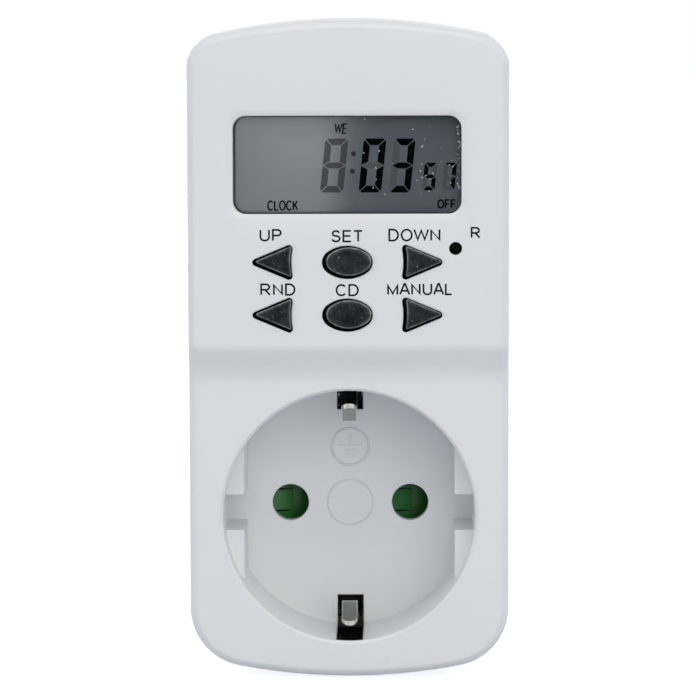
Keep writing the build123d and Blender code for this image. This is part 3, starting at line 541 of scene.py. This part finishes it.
# %% Inks
display_ink = finish("display_ink", (0.0008, 0.0009, 0.0012), 0.6, drift=0.2, drift_scale=900, shine=0.0)
grey_ink = finish("grey_display_ink", (0.030, 0.032, 0.035), 0.07, drift=0.2, drift_scale=900, shine=0.7)
faint_ink = finish("faint_display_ink", (0.079, 0.093, 0.100), 0.07, drift=0.15, drift_scale=900, shine=0.9)
label_ink = finish("label_ink", (0.010, 0.010, 0.013), 0.6, drift=0.4, drift_scale=2500, relief=0.001,
                   shine=0.1)
dust = finish("dust", (0.50, 0.51, 0.50), 0.9, drift=0.5, drift_scale=2500, shine=0.2)
print("display finishes ready")

# %% [markdown]
# ## Give every node its finish
#
# A CAD node keeps its mesh, so only its material slot changes. The earth bar gets near-black steel,
# painted shade that keeps the slots of the earth clips dark to their bottom.

# %% Assign
slot_of = {row["node"]: row["material_slot"] for row in frame["record"]["subparts"]}
for name, node in nodes.items():
    for entry in node.material_slots:
        # Painted shade: the earth bar is made near black.
        entry.material = finishes["dark_steel" if name == "earth_bar" else slot_of[name]]
print("finished nodes:", len(slot_of))

# %% [markdown]
# ## Smooth copies of the moulded pieces
#
# The CAD rims are made of a few narrow flats, where a real mould has a round. A copy of the mesh with
# smooth shading up to a chosen angle, and normals weighted by face size, turns the flats into one soft
# highlight while the broad faces stay flat. Each copy stands for its node.


# %% Helpers for finished pieces
doubles = 0.0005 * MM
hairline = 0.001 * MM
in_plane = 0.01 * MM


def new_piece(name, form, body, material, replaced=None):
    """Object from a bmesh, riding on a body, with its finish and the node that it stands for."""
    piece = add_object(name, mesh_from(name, form))
    piece.data.materials.append(material)
    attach(piece, body)
    if replaced:
        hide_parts(replaced)
    return piece


def body_of(node):
    """Name of the body that a CAD node belongs to."""
    bodies = frame["record"]["behaviour"]["bodies"]
    return next(body for body, members in bodies.items() if node in members)


def rim_edges(form, height):
    """Edges of a piece's outer outline that lie in one plane across Y."""
    centre = sum((v.co for v in form.verts), Vector()) / len(form.verts)
    found = []
    for edge in form.edges:
        if len(edge.link_faces) != 2 or any(abs(v.co.y - height) > in_plane for v in edge.verts):
            continue
        flat = [f for f in edge.link_faces if abs(f.normal.y) > 0.9]
        steep = [f for f in edge.link_faces if abs(f.normal.y) < 0.3]
        outward = Vector((edge.verts[0].co.x - centre.x, 0, edge.verts[0].co.z - centre.z))
        if flat and steep and steep[0].normal.dot(outward) > 0:
            found.append(edge)
    return found


def merged_mesh(node, flatten=False):
    """Mesh of a node with its doubles merged and, if asked, its flat areas made one face each."""
    form = bmesh.new()
    form.from_mesh(nodes[node].data)
    bmesh.ops.remove_doubles(form, verts=form.verts, dist=doubles)
    if flatten:
        bmesh.ops.dissolve_limit(form, angle_limit=radians(1), verts=form.verts, edges=form.edges)
    return form


def smooth_up_to(form, soft_angle):
    """Shade a mesh smooth, but for edges sharper than an angle in degrees."""
    for face in form.faces:
        face.smooth = True
    for edge in form.edges:
        edge.smooth = edge.calc_face_angle(pi) < radians(soft_angle)


def soften(node, form, soft_angle, material=None):
    """Piece that stands for a node: smooth up to an angle, with normals weighted by face size."""
    for face in form.faces:
        face.material_index = 0
    smooth_up_to(form, soft_angle)
    print(node, "faces", len(form.faces))
    material = material or finishes[slot_of[node]]
    piece = new_piece(node + "_finished", form, body_of(node), material, node)
    weighted = piece.modifiers.new("weighted_normals", "WEIGHTED_NORMAL")
    weighted.keep_sharp = True
    return piece


def round_rim(form, height, size, steps):
    """Bevel the outer outline of a piece where it lies in a plane across Y."""
    bmesh.ops.bevel(form, geom=rim_edges(form, height), offset=size, affect="EDGES", segments=steps,
                    profile=0.5, material=-1, clamp_overlap=True)


# %% Copies of covers, clips and window
split_place = -30.5 * MM
seam_groove = 0.22 * MM
window_edge = 0.15 * MM
for name, soft_angle in (("front_cover", 30), ("rear_cover", 50)):
    form = merged_mesh(name)
    round_rim(form, split_place, seam_groove, 1)
    soften(name, form, soft_angle)
for name in ("upper_earth_clip", "lower_earth_clip"):
    soften(name, merged_mesh(name), 30, finishes["clip_nickel"])
form = merged_mesh("lcd_window", flatten=True)
round_rim(form, window_face, window_edge, 2)
window_copy = soften("lcd_window", form, 40)
window_copy.visible_shadow = False

# %% [markdown]
# Through the openings the caps show a wider gap at their lower left, so each cap is drawn a little
# towards its upper right. A key's top is slightly domed. Its flat top face is inset twice, each new
# ring is drawn towards the middle, and the mark for the rim's wear and painted highlight is written on
# the points of each ring, more strongly on the upper side as painted light from above.

# %% Copies of the keys
cap_share = 0.973
cap_depth = 0.6 * MM
key_edge = 0.12 * MM
rim_drop = 0.05 * MM
ring_step = 0.02 * MM
key_rings = [(0.94, 0.02 * MM, 0.09), (0.70, 0.0, 0.0)]
for name in [n for n in nodes if n.endswith("_key")]:
    form = merged_mesh(name, flatten=True)
    mark = form.verts.layers.float.new("wear_and_highlight")
    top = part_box(name)[0].y
    cap_verts = [v for v in form.verts if v.co.y < top + cap_depth]
    far_x, far_z = max(v.co.x for v in cap_verts), max(v.co.z for v in cap_verts)
    for v in cap_verts:
        v.co.x = far_x + (v.co.x - far_x) * cap_share
        v.co.z = far_z + (v.co.z - far_z) * cap_share
    round_rim(form, top, key_edge, 2)
    tops = [f for f in form.faces if all(abs(v.co.y - top) < hairline for v in f.verts)]
    cap = max(tops, key=lambda f: f.calc_area())
    centre = cap.calc_center_median()
    for v in cap.verts:
        v.co.y += rim_drop
        # The upper side gets a stronger mark: painted light from above.
        v[mark] = 0.0 if name == "reset_key" else 1.0 if v.co.z > centre.z else 0.6
    reach = 1.0
    for share, drop, value in key_rings:
        bmesh.ops.inset_region(form, faces=[cap], thickness=ring_step, use_even_offset=True)
        for v in cap.verts:
            v.co = centre + (v.co - centre) * (share / reach)
            v.co.y = top + drop
            # Again stronger on the upper side: painted light from above.
            v[mark] = value * (1.5 if v.co.z > centre.z else 0.6)
        reach = share
    soften(name, form, 40)

# %% [markdown]
# A near-black sheet lines the openings round the keys, painted shade that makes the gap beside a cap
# black. The walls of the openings are taken from the cover's own mesh and set off from it by a hair.

# %% Painted shade: black linings of the key openings
shade_lining_depth = 1.8 * MM
shade_lining_gap, shade_lining_thickness = 0.03 * MM, 0.02 * MM
shade_lining = merged_mesh("front_cover")
key_boxes = [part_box(n) for n in nodes if n.endswith("_key") and n != "reset_key"]


def in_opening(face):
    """True for a wall face of a key's opening."""
    middle = face.calc_center_median()
    near = any(low.x < middle.x < high.x and low.z < middle.z < high.z for low, high in key_boxes)
    return near and abs(face.normal.y) < 0.3 and middle.y < panel_face + shade_lining_depth


bmesh.ops.delete(shade_lining, geom=[f for f in shade_lining.faces if not in_opening(f)], context="FACES")
shade_lining.normal_update()
for v in shade_lining.verts:
    v.co += v.normal * shade_lining_gap
bmesh.ops.solidify(shade_lining, geom=shade_lining.faces[:], thickness=shade_lining_thickness)
print("lining faces:", len(shade_lining.faces))
# A near-black sheet as painted shade in the key openings.
new_piece("key_opening_shade_lining", shade_lining, "housing", finishes["slot_lining"])

# %% [markdown]
# ## Printed and displayed signs
#
# The places were measured on the photograph, in the plane of the panel's face. A sign that lies deeper,
# such as a digit on the glass, is moved along the line of sight to its own plane.


# %% Move a measured place to a deeper plane
def sight(x, z, plane):
    """Point on a deeper plane that the camera sees at (x, z) mm on the panel's face, in metres."""
    reach = (plane - eye.y) / (panel_face - eye.y)
    return eye.x + (x * MM - eye.x) * reach, eye.z + (z * MM - eye.z) * reach


# %% [markdown]
# ### Words
#
# The letters are strokes of even width, drawn as straight lines and parts of ellipses in a field one
# unit high. Only plain function words and the display's own signs are lettered.

# %% Lines of the letters
def bow(x, z, across, tall, first, last, steps=14):
    """Points on an ellipse from one angle to another, in degrees."""
    turns = [radians(first + (last - first) * i / steps) for i in range(steps + 1)]
    return [(x + across * cos(turn), z + tall * sin(turn)) for turn in turns]


letters = {
    "A": (0.80, 0.07, [[(0, 0), (0.36, 1), (0.44, 1), (0.80, 0)], [(0.17, 0.34), (0.63, 0.34)]]),
    "C": (0.76, 0.13, [bow(0.40, 0.5, 0.40, 0.5, 42, 318, 24)]),
    "D": (0.70, 0.15, [[(0, 0), (0, 1)] + bow(0.30, 0.5, 0.40, 0.5, 90, -90) + [(0, 0)]]),
    "E": (0.64, 0.17, [[(0.62, 1), (0, 1), (0, 0), (0.64, 0)], [(0.06, 0.52), (0.58, 0.52)]]),
    "F": (0.58, 0.15, [[(0, 0), (0, 1), (0.58, 1)], [(0.06, 0.50), (0.50, 0.50)]]),
    "K": (0.66, 0.15, [[(0, 0), (0, 1)], [(0.62, 1), (0.06, 0.36)], [(0.26, 0.60), (0.66, 0)]]),
    "L": (0.52, 0.15, [[(0, 1), (0, 0), (0.52, 0)]]),
    "M": (0.80, 0.17, [[(0, 0), (0, 1), (0.40, 0), (0.80, 1), (0.80, 0)]]),
    "N": (0.66, 0.17, [[(0, 0), (0, 1), (0.66, 0), (0.66, 1)]]),
    "O": (0.82, 0.13, [bow(0.41, 0.5, 0.41, 0.5, 90, 450, 28)]),
    "P": (0.63, 0.15, [[(0, 0), (0, 1)] + bow(0.36, 0.735, 0.27, 0.265, 90, -90) + [(0.06, 0.47)]]),
    "R": (0.72, 0.15, [[(0, 0), (0, 1)] + bow(0.40, 0.74, 0.26, 0.26, 90, -90) + [(0.06, 0.48)],
                       [(0.36, 0.42), (0.72, 0)]]),
    "S": (0.62, 0.13, [bow(0.31, 0.755, 0.275, 0.245, 15, 240) + bow(0.31, 0.265, 0.31, 0.265, 65, -168)]),
    "T": (0.68, 0.07, [[(0, 1), (0.68, 1)], [(0.34, 0.94), (0.34, 0)]]),
    "U": (0.68, 0.16, [[(0, 1)] + bow(0.34, 0.32, 0.34, 0.32, 180, 360) + [(0.68, 1)]]),
    "W": (1.12, 0.07, [[(0, 1), (0.28, 0), (0.56, 1), (0.84, 0), (1.12, 1)]]),
}


# %% Words as thin plates
def band(form, line, half):
    """Flat band along a line of points, mitred at its corners and closed where the line closes."""
    closed = (line[0] - line[-1]).length < 1e-9
    line = line[:-1] if closed else line
    count = len(line)
    sides = []
    for i, here in enumerate(line):
        arriving = here - line[i - 1] if (i or closed) else line[1] - here
        leaving = line[(i + 1) % count] - here if (i < count - 1 or closed) else arriving
        arriving, leaving = arriving.normalized(), leaving.normalized()
        middle = (arriving + leaving).normalized()
        across = Vector((-middle.y, middle.x))
        reach = half / max(0.2, across.dot(Vector((-arriving.y, arriving.x))))
        sides.append([form.verts.new((*(here + across * way), 0)) for way in (reach, -reach)])
    for (a, b), (c, d) in zip(sides, sides[1:] + sides[:1] if closed else sides[1:]):
        form.faces.new((a, b, d, c))


def straight(x, z, plane):
    """Point (x, z) mm as it is, whatever its plane, in metres."""
    return x * MM, z * MM


def new_verts(geometry):
    """Points among the geometry that an operator made."""
    return [v for v in geometry if isinstance(v, bmesh.types.BMVert)]


def lift_plate(form, plane, lift, place=sight):
    """Turn flat faces drawn in mm into a thin plate in front of a plane."""
    raised = bmesh.ops.extrude_face_region(form, geom=list(form.faces))["geom"]
    bmesh.ops.translate(form, vec=(0, 0, 1), verts=new_verts(raised))
    for v in form.verts:
        x, z = place(v.co.x, v.co.y, plane)
        v.co = Vector((x, plane - v.co.z * lift, z))
    bmesh.ops.recalc_face_normals(form, faces=form.faces)


def word(name, text, box, plane, lift, slant, half, material):
    """Word of even strokes that fills a box (x0, x1, z0, z1 in mm on the panel's face)."""
    lines, start = [], 0.0
    for index, letter in enumerate(text):
        width, side, paths = letters[letter]
        start += side if index else 0.0
        lines += [[(start + x, z) for x, z in path] for path in paths]
        start += width + side
    total = start - side
    low, high = box[2] + half, box[3] - half
    scale = (box[1] - box[0] - 2 * half - slant * (high - low)) / total
    form = bmesh.new()
    for path in lines:
        band(form, [Vector((box[0] + half + x * scale, low + z * (high - low))) for x, z in path], half)
    for v in form.verts:
        v.co.y = min(max(v.co.y, box[2]), box[3])
        v.co.x += slant * (v.co.y - low)
    lift_plate(form, plane, lift)
    print(name, "faces", len(form.faces))
    new_piece(name, form, "housing", material)


# %% Words
labels = {
    "up_label": ("UP", (-13.56, -10.17, 42.73, 44.64)),
    "set_label": ("SET", (-2.58, 2.29, 42.57, 44.46)),
    "down_label": ("DOWN", (6.15, 14.10, 42.69, 44.65)),
    "reset_label": ("R", (18.73, 20.25, 43.11, 44.90)),
    "random_label": ("RND", (-13.49, -8.10, 34.40, 36.30)),
    "countdown_label": ("CD", (-1.95, 1.61, 34.30, 36.19)),
    "manual_label": ("MANUAL", (5.95, 15.98, 34.43, 36.33)),
}
print_thickness = 0.02 * MM
label_half = 0.14
for name, (text, box) in labels.items():
    word(name, text, box, panel_face, print_thickness, 0.0, label_half, label_ink)

signs = {
    "day_sign": ("WE", (-2.18, 0.02, 59.13, 60.77), 0.12),
    "clock_sign": ("CLOCK", (-12.36, -7.61, 47.43, 49.03), 0.0),
    "off_sign": ("OFF", (13.62, 16.49, 47.71, 49.14), 0.0),
}
ink_thickness = 0.03 * MM
sign_half = 0.12
for name, (text, box, slant) in signs.items():
    word(name, text, box, glass_face, ink_thickness, slant, sign_half, display_ink)
print("words:", len(labels) + len(signs))

# %% [markdown]
# ### Seven-segment digits
#
# The bars of a digit meet in mitres with a hair of glass between them. The top, upper right and middle
# bars are drawn, and mirroring gives the rest. The digit leans by a few degrees, and bars that are
# switched off are still faintly visible.

# %% Bars of a digit
digit_lean = tan(radians(6))
hair = 0.15
lit_bars = {"0": "abcdef", "3": "abcdg", "5": "acdfg", "7": "abc", "8": "abcdefg"}


def digit_bars(width, height, thick):
    """Outlines of the seven bars of a digit, from its lower left corner, in mm."""
    middle = height / 2
    slip = 0.7 * hair
    cut = 0.35 * thick
    half_bar = 0.45 * thick
    top = [(slip + cut, height), (width - slip - cut, height), (width - slip - cut / 2, height - cut / 2),
           (width - thick - slip, height - thick), (thick + slip, height - thick),
           (slip + cut / 2, height - cut / 2)]
    side = [(width, height - slip - cut), (width, middle + hair / 2),
            (width - thick, middle + thick / 2 + hair / 2), (width - thick, height - thick - slip),
            (width - cut / 2, height - slip - cut / 2)]
    centre = [(hair, middle), (thick, middle + half_bar), (width - thick, middle + half_bar),
              (width - hair, middle), (width - thick, middle - half_bar), (thick, middle - half_bar)]
    return {
        "a": top,
        "b": side,
        "c": [(x, height - z) for x, z in side],
        "d": [(x, height - z) for x, z in top],
        "e": [(width - x, height - z) for x, z in side],
        "f": [(width - x, z) for x, z in side],
        "g": centre,
    }


def digit(name, sign, box, thick, ink):
    """Digit on the glass inside a box (x0, x1, z0, z1 in mm on the panel's face)."""
    height = box[3] - box[2]
    width = box[1] - box[0] - digit_lean * height
    kinds = (("lit", ink, ink_thickness, True), ("unlit", faint_ink, ink_thickness / 2, False))
    for suffix, material, lift, wanted in kinds:
        form = bmesh.new()
        for key, outline in digit_bars(width, height, thick).items():
            if (key in lit_bars[sign]) == wanted:
                points = [(box[0] + x + digit_lean * z, box[2] + z, 0) for x, z in outline]
                form.faces.new([form.verts.new(point) for point in points])
        if form.faces:
            bmesh.ops.recalc_face_normals(form, faces=form.faces)
            lift_plate(form, glass_face, lift)
            new_piece(f"{name}_{suffix}", form, "housing", material)
        else:
            form.free()


digits = {
    "hour_digit": ("8", (-4.30, 0.10, 50.21, 58.44), 1.0),
    "ten_minute_digit": ("0", (1.58, 5.90, 50.21, 58.44), 1.02),
    "minute_digit": ("3", (6.20, 10.35, 50.19, 58.42), 1.02),
    "ten_second_digit": ("5", (11.30, 13.65, 50.50, 54.72), 0.62),
    "second_digit": ("7", (14.30, 16.65, 50.50, 54.72), 0.62),
}
for name, (sign, box, thick) in digits.items():
    digit(name, sign, box, thick, grey_ink if name == "hour_digit" else display_ink)
print("digits:", len(digits))

# %% Colon between hours and minutes
dot_radius = 0.4
dot_places = ((0.85, 56.1), (0.68, 53.45))
colon = bmesh.new()
for x, z in dot_places:
    made = bmesh.ops.create_circle(colon, cap_ends=True, segments=24, radius=dot_radius)["verts"]
    bmesh.ops.translate(colon, vec=(x, z, 0), verts=made)
lift_plate(colon, glass_face, ink_thickness)
colon_ink = finish("worn_display_ink", (0.022, 0.026, 0.030), 0.5, drift=0.3, drift_scale=2500, shine=0.1)
new_piece("colon_dots", colon, "housing", colon_ink)

# %% [markdown]
# ### Border of the window
#
# A thin black band round the window draws a dark line at its edge, as painted shade.

# %% Band of painted shade round the window
shade_band_half = 0.10
shade_band_height = 0.02 * MM
corner = 1.85
display_middle, display_half_width, display_half_height = 54.4, 17.5, 7.5
right_x, high_z = display_half_width - shade_band_half, display_middle + display_half_height - shade_band_half
left_x, low_z = -right_x, display_middle - display_half_height + shade_band_half
corners = [(right_x - corner, high_z - corner, 0), (left_x + corner, high_z - corner, 90),
           (left_x + corner, low_z + corner, 180), (right_x - corner, low_z + corner, 270)]
outline = [point for x, z, turn in corners for point in bow(x, z, corner, corner, turn, turn + 90, 8)]
shade_band = bmesh.new()
band(shade_band, [Vector(point) for point in outline + outline[:1]], shade_band_half)
lift_plate(shade_band, window_face, shade_band_height, straight)
# Painted shade: a near-black band at the window's edge.
new_piece("window_shade_band", shade_band, "housing", finishes["slot_lining"])

# %% [markdown]
# ### Dust on the window
#
# A used timer has flakes of dust on its window, most of them along the right edge. Each is a thin
# plate with an uneven outline, and the places come from a seeded list of numbers, so they stay put.

# %% Flakes
flake_thickness = 0.01 * MM
flakes = bmesh.new()
chance = Random(11)
flake_places = [(16.9 + chance.gauss(0, 0.12), chance.uniform(50.5, 61.0)) for _ in range(20)]
flake_places += [(chance.uniform(10.5, 17.0), chance.uniform(49.5, 61.5)) for _ in range(22)]
flake_places += [(chance.uniform(1.0, 16.5), chance.uniform(49.0, 61.5)) for _ in range(12)]
for x, z in flake_places:
    size = chance.uniform(0.035, 0.11)
    long = chance.uniform(1.0, 2.6)
    turn = Matrix.Rotation(chance.uniform(0, pi), 3, "Z")
    made = bmesh.ops.create_circle(flakes, cap_ends=True, segments=7, radius=size)["verts"]
    for v in made:
        v.co = turn @ Vector((v.co.x * long, v.co.y, 0)) * chance.uniform(0.6, 1.2) + Vector((x, z, 0))
lift_plate(flakes, window_face, flake_thickness)
new_piece("window_dust", flakes, "housing", dust)
print("flakes:", len(flake_places))

# %% [markdown]
# ## What the display mirrors
#
# The smooth glass of a dark display shows whatever stands opposite it. In the photograph that is a dark
# room with something pale in its left part. A card behind the camera stands for it: only mirror and
# glass rays see it, and its glow fades from left to right with a few soft streaks.

# %% Card
def leave_to_mirrors(piece):
    """Hide a piece of the studio from all rays but mirror and glass rays."""
    for ray in ("camera", "diffuse", "volume_scatter", "shadow"):
        setattr(piece, "visible_" + ray, False)


card_distance = -0.80
card_left, card_right, card_low, card_high = -0.110, 0.085, -0.018, 0.085
card = bmesh.new()
corners = [(card_left, card_high), (card_right, card_high), (card_right, card_low), (card_left, card_low)]
card.faces.new([card.verts.new((x, card_distance, z)) for x, z in corners])
mirrored_card = add_object("mirrored_card", mesh_from("mirrored_card", card))
leave_to_mirrors(mirrored_card)
mirrored_card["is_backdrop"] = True

# %% Dark room behind the camera
room_half = (1.6, 0.68, 1)
room_place = (0, -1.9, 0.66)
room = bmesh.new()
bmesh.ops.create_grid(room, x_segments=1, y_segments=1, size=1.0)
bmesh.ops.scale(room, vec=room_half, verts=room.verts)
bmesh.ops.rotate(room, cent=(0, 0, 0), matrix=Matrix.Rotation(pi / 2, 3, "X"), verts=room.verts)
bmesh.ops.translate(room, vec=room_place, verts=room.verts)
dark_room = add_object("dark_room", mesh_from("dark_room", room))
dark_room.data.materials.append(finish("dark_cloth", (0.02, 0.02, 0.022), 0.9, shine=0.1))
leave_to_mirrors(dark_room)
dark_room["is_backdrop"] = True

# %% Glow of the card
card_light, tree, shader = new_material(
    "card_light", {"Base Color": (0, 0, 0, 1), "Specular IOR Level": 0.0, "Emission Color": white}
)
leaning = (0, radians(-9.4), 0)
place = axes(tree, object_place(tree, "Rotation", leaning))
glow = map_range(tree, place["X"], start=(-14.5 * MM, -18.0 * MM), end=(0.02, 1.5), smooth=True)
streaks = map_range(tree, noise(tree, 22.0, 1.0, (1.6, 1, 0.7)), end=(0.75, 1.2))
rise = map_range(tree, place["Z"], start=(10 * MM, 30 * MM), end=(0.55, 1.0))
glow = math_node(tree, "MULTIPLY", math_node(tree, "MULTIPLY", glow, streaks), rise)
tree.links.new(glow, shader.inputs["Emission Strength"])
mirrored_card.data.materials.append(card_light)

# %% [markdown]
# ## Plug pins with round ends
#
# A turned pin ends in a smooth round. Its half outline is drawn once, with the round as a row of short
# lines, and is spun about the pin's axis.


# %% Helper for turned pieces
def turned(outline, closed, steps, merge, place):
    """Mesh spun about an axis along Y from a half outline, and moved to its place."""
    form = bmesh.new()
    verts = [form.verts.new((x, y, 0)) for x, y in outline]
    ends = verts[1:] + verts[:1] if closed else verts[1:]
    edges = [form.edges.new(pair) for pair in zip(verts, ends)]
    bmesh.ops.spin(form, geom=verts + edges, cent=(0, 0, 0), axis=(0, 1, 0), angle=2 * pi, steps=steps,
                   use_merge=True)
    bmesh.ops.remove_doubles(form, verts=form.verts, dist=merge)
    bmesh.ops.translate(form, vec=place, verts=form.verts)
    bmesh.ops.recalc_face_normals(form, faces=form.faces)
    return form


# %% Pins
pin_radius = 2.4 * MM
tip_round = 1.6 * MM
stub_radius = 1.7 * MM
tip_steps = 8
for node in ("live_pin", "neutral_pin"):
    low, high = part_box(node)
    outline = [(0, low.y), (stub_radius, low.y), (stub_radius, nose_face), (pin_radius, nose_face)]
    for i in range(tip_steps + 1):
        angle = pi / 2 * i / tip_steps
        outline.append((pin_radius - tip_round * (1 - cos(angle)), high.y - tip_round * (1 - sin(angle))))
    outline.append((0, high.y))
    pin = turned(outline, False, 48, hairline, ((low.x + high.x) / 2, 0, 0))
    smooth_up_to(pin, 40)
    new_piece(node + "_turned", pin, "housing", finishes["pin_nickel"], node)
print("pins turned")

# %% [markdown]
# ## Signs moulded into the floor of the well
#
# The earth sign in its ring and the gate mark in the middle stand up by less than a tenth of a
# millimetre. They are the same white plastic, so only their edges catch the light.


# %% Helpers for raised marks
mark_finish = finish("white_plastic_marks", abs_white, 0.38, drift=0.02, drift_scale=25, grain=6000,
                     relief=0.0015)


def bar(form, centre, size):
    """Points of a box with a centre and a size."""
    made = bmesh.ops.create_cube(form, size=1.0)["verts"]
    bmesh.ops.scale(form, vec=size, verts=made)
    bmesh.ops.translate(form, vec=centre, verts=made)
    return made


def raised_ring(name, x, z, radius, width, height):
    """Ring on the well's floor as a piece of its own."""
    inner, outer = radius - width / 2, radius + width / 2
    slope = 0.35 * width
    outline = [(inner, 0), (inner + slope, -height), (outer - slope, -height), (outer, 0)]
    form = turned(outline, True, 64, doubles, (x, well_floor, z))
    for face in form.faces:
        face.smooth = True
    new_piece(name, form, "housing", mark_finish)


# %% Earth sign and gate mark
sign_z = 8.9 * MM
mark_height = 0.06 * MM
bar_height = 0.08 * MM
bar_slope = 0.11 * MM
line_width = 0.34 * MM
raised_ring("earth_sign_ring", 0, sign_z, 2.95 * MM, line_width, mark_height)
raised_ring("gate_mark", 0, 0, 3.6 * MM, 0.26 * MM, 0.016 * MM)

earth_bars = bmesh.new()
stroke = line_width / MM
for z, across, tall in ((1.15, stroke, 1.9), (0.2, 3.6, stroke), (-0.55, 2.4, stroke), (-1.3, 1.2, stroke)):
    centre = Vector((0, well_floor - bar_height / 2, sign_z + z * MM))
    for v in bar(earth_bars, centre, (across * MM, bar_height, tall * MM)):
        if v.co.y < centre.y:
            v.co.x += copysign(bar_slope, centre.x - v.co.x)
            v.co.z += copysign(bar_slope, centre.z - v.co.z)
new_piece("earth_sign_bars", earth_bars, "housing", mark_finish)

# %% [markdown]
# ## Painted shade: dark liners of the clip slots
#
# The slots round the earth clips are painted dark as shade: a near-black sheet lines them. Each liner is
# a thin tube with its ends open, which lies against the slot's walls.

# %% Liners
slot_half = 2.07 * MM
slot_near, slot_far = 14.86 * MM, 20.88 * MM
well_edge = 19.42 * MM
liner_wall = 0.08 * MM
liner_gap = 0.02 * MM
liner_top = lower_face + 1.02 * MM
liner_foot = well_floor + 4.4 * MM


def liner_part(form, side, near, far, front, back, open_near):
    """Open box inside a slot: side walls, far wall, and a near wall unless the slot is open there."""
    centre = (0, (front + back) / 2, side * (near + far) / 2)
    made = bar(form, centre, (2 * slot_half, back - front, far - near))
    faces = {f for v in made for f in v.link_faces}
    bmesh.ops.recalc_face_normals(form, faces=list(faces))
    gone = [f for f in faces if abs(f.normal.y) > 0.5 or (open_near and f.normal.z * side < -0.5)]
    bmesh.ops.delete(form, geom=gone, context="FACES")


for side, name in ((1, "upper_slot_liner"), (-1, "lower_slot_liner")):
    liner = bmesh.new()
    liner_part(liner, side, well_edge, slot_far, liner_top, well_floor, True)
    liner_part(liner, side, slot_near, slot_far, well_floor + liner_gap, liner_foot, False)
    bmesh.ops.solidify(liner, geom=liner.faces[:], thickness=liner_wall)
    print(name, "faces", len(liner.faces))
    # A near-black sheet as painted shade in the slot.
    new_piece(name, liner, "housing", finishes["slot_lining"])

# %% [markdown]
# ## Screw heads
#
# The four screws of the housing sit deep in their holes on the back. A head is a disc with a bevelled
# rim and a cross recess.

# %% Helper for a cross recess
def flat_top(form, top):
    """Faces of a form's flat top."""
    return [f for f in form.faces if f.normal.z > 0.99 and f.calc_center_median().z > top - in_plane]


def cut_cross(form, top):
    """Press a cross into the flat top of a screw head that stands along Z."""
    half, reach, depth, foot_share = 0.28 * MM, 1.35 * MM, 0.9 * MM, 0.7
    for direction in ((1, 0, 0), (0, 1, 0)):
        for offset in (-reach, -half, half, reach):
            flat = flat_top(form, top)
            part = set(flat) | {e for f in flat for e in f.edges} | {v for f in flat for v in f.verts}
            bmesh.ops.bisect_plane(form, geom=list(part), dist=hairline,
                                   plane_co=[offset * d for d in direction], plane_no=direction)
    form.normal_update()
    arms = []
    for face in flat_top(form, top):
        away = sorted(abs(c) for c in face.calc_center_median()[:2])
        if away[0] < half and away[1] < reach:
            arms.append(face)
    sunk = new_verts(bmesh.ops.extrude_face_region(form, geom=arms)["geom"])
    bmesh.ops.translate(form, vec=(0, 0, -depth), verts=sunk)
    bmesh.ops.scale(form, vec=(foot_share, foot_share, 1), verts=sunk)
    bmesh.ops.delete(form, geom=[f for f in arms if f.is_valid], context="FACES")
    bmesh.ops.recalc_face_normals(form, faces=form.faces)


# %% Screws
screw_places = [(19.6, 69.4), (-19.6, 69.4), (18.6, -17.9), (-18.6, -17.9)]
head_radius = 2.4 * MM
head_height = 1.6 * MM
head_edge = 0.5 * MM
seat_depth = 24.5 * MM
seat = nose_face - seat_depth
for index, (x, z) in enumerate(screw_places):
    head = bmesh.new()
    bmesh.ops.create_cone(head, cap_ends=True, segments=40, radius1=head_radius, radius2=head_radius,
                          depth=head_height)
    rim = [e for e in head.edges if all(v.co.z > 0 for v in e.verts)]
    bmesh.ops.bevel(head, geom=rim, offset=head_edge, affect="EDGES", segments=4, profile=0.5,
                    material=-1)
    cut_cross(head, head_height / 2)
    for angle, axis in ((radians(35 * index), "Z"), (-pi / 2, "X")):
        bmesh.ops.rotate(head, cent=(0, 0, 0), matrix=Matrix.Rotation(angle, 3, axis), verts=head.verts)
    bmesh.ops.translate(head, vec=(x * MM, seat + head_height / 2, z * MM), verts=head.verts)
    for face in head.faces:
        face.smooth = False
    new_piece(f"housing_screw_{index + 1}", head, "housing", finishes["steel"])
print("screws:", len(screw_places))

# %% [markdown]
# ## Return spring of the shutter
#
# The spring stands between a fixed post and the shutter, and gets shorter as the shutter slides. Its
# piece is a smooth copy of the node with a mesh of its own.

# %% Return spring
spring_piece = soften("shutter_spring", merged_mesh("shutter_spring"), 50)
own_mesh(spring_piece)

# %% [markdown]
# ## Close the scene
#
# The box of all that renders, leaving out the backdrops, is written out in millimetres.

# %% Sizes
low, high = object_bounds()
print("visual box mm:", [round(v / MM, 2) for v in (*low, *high)])
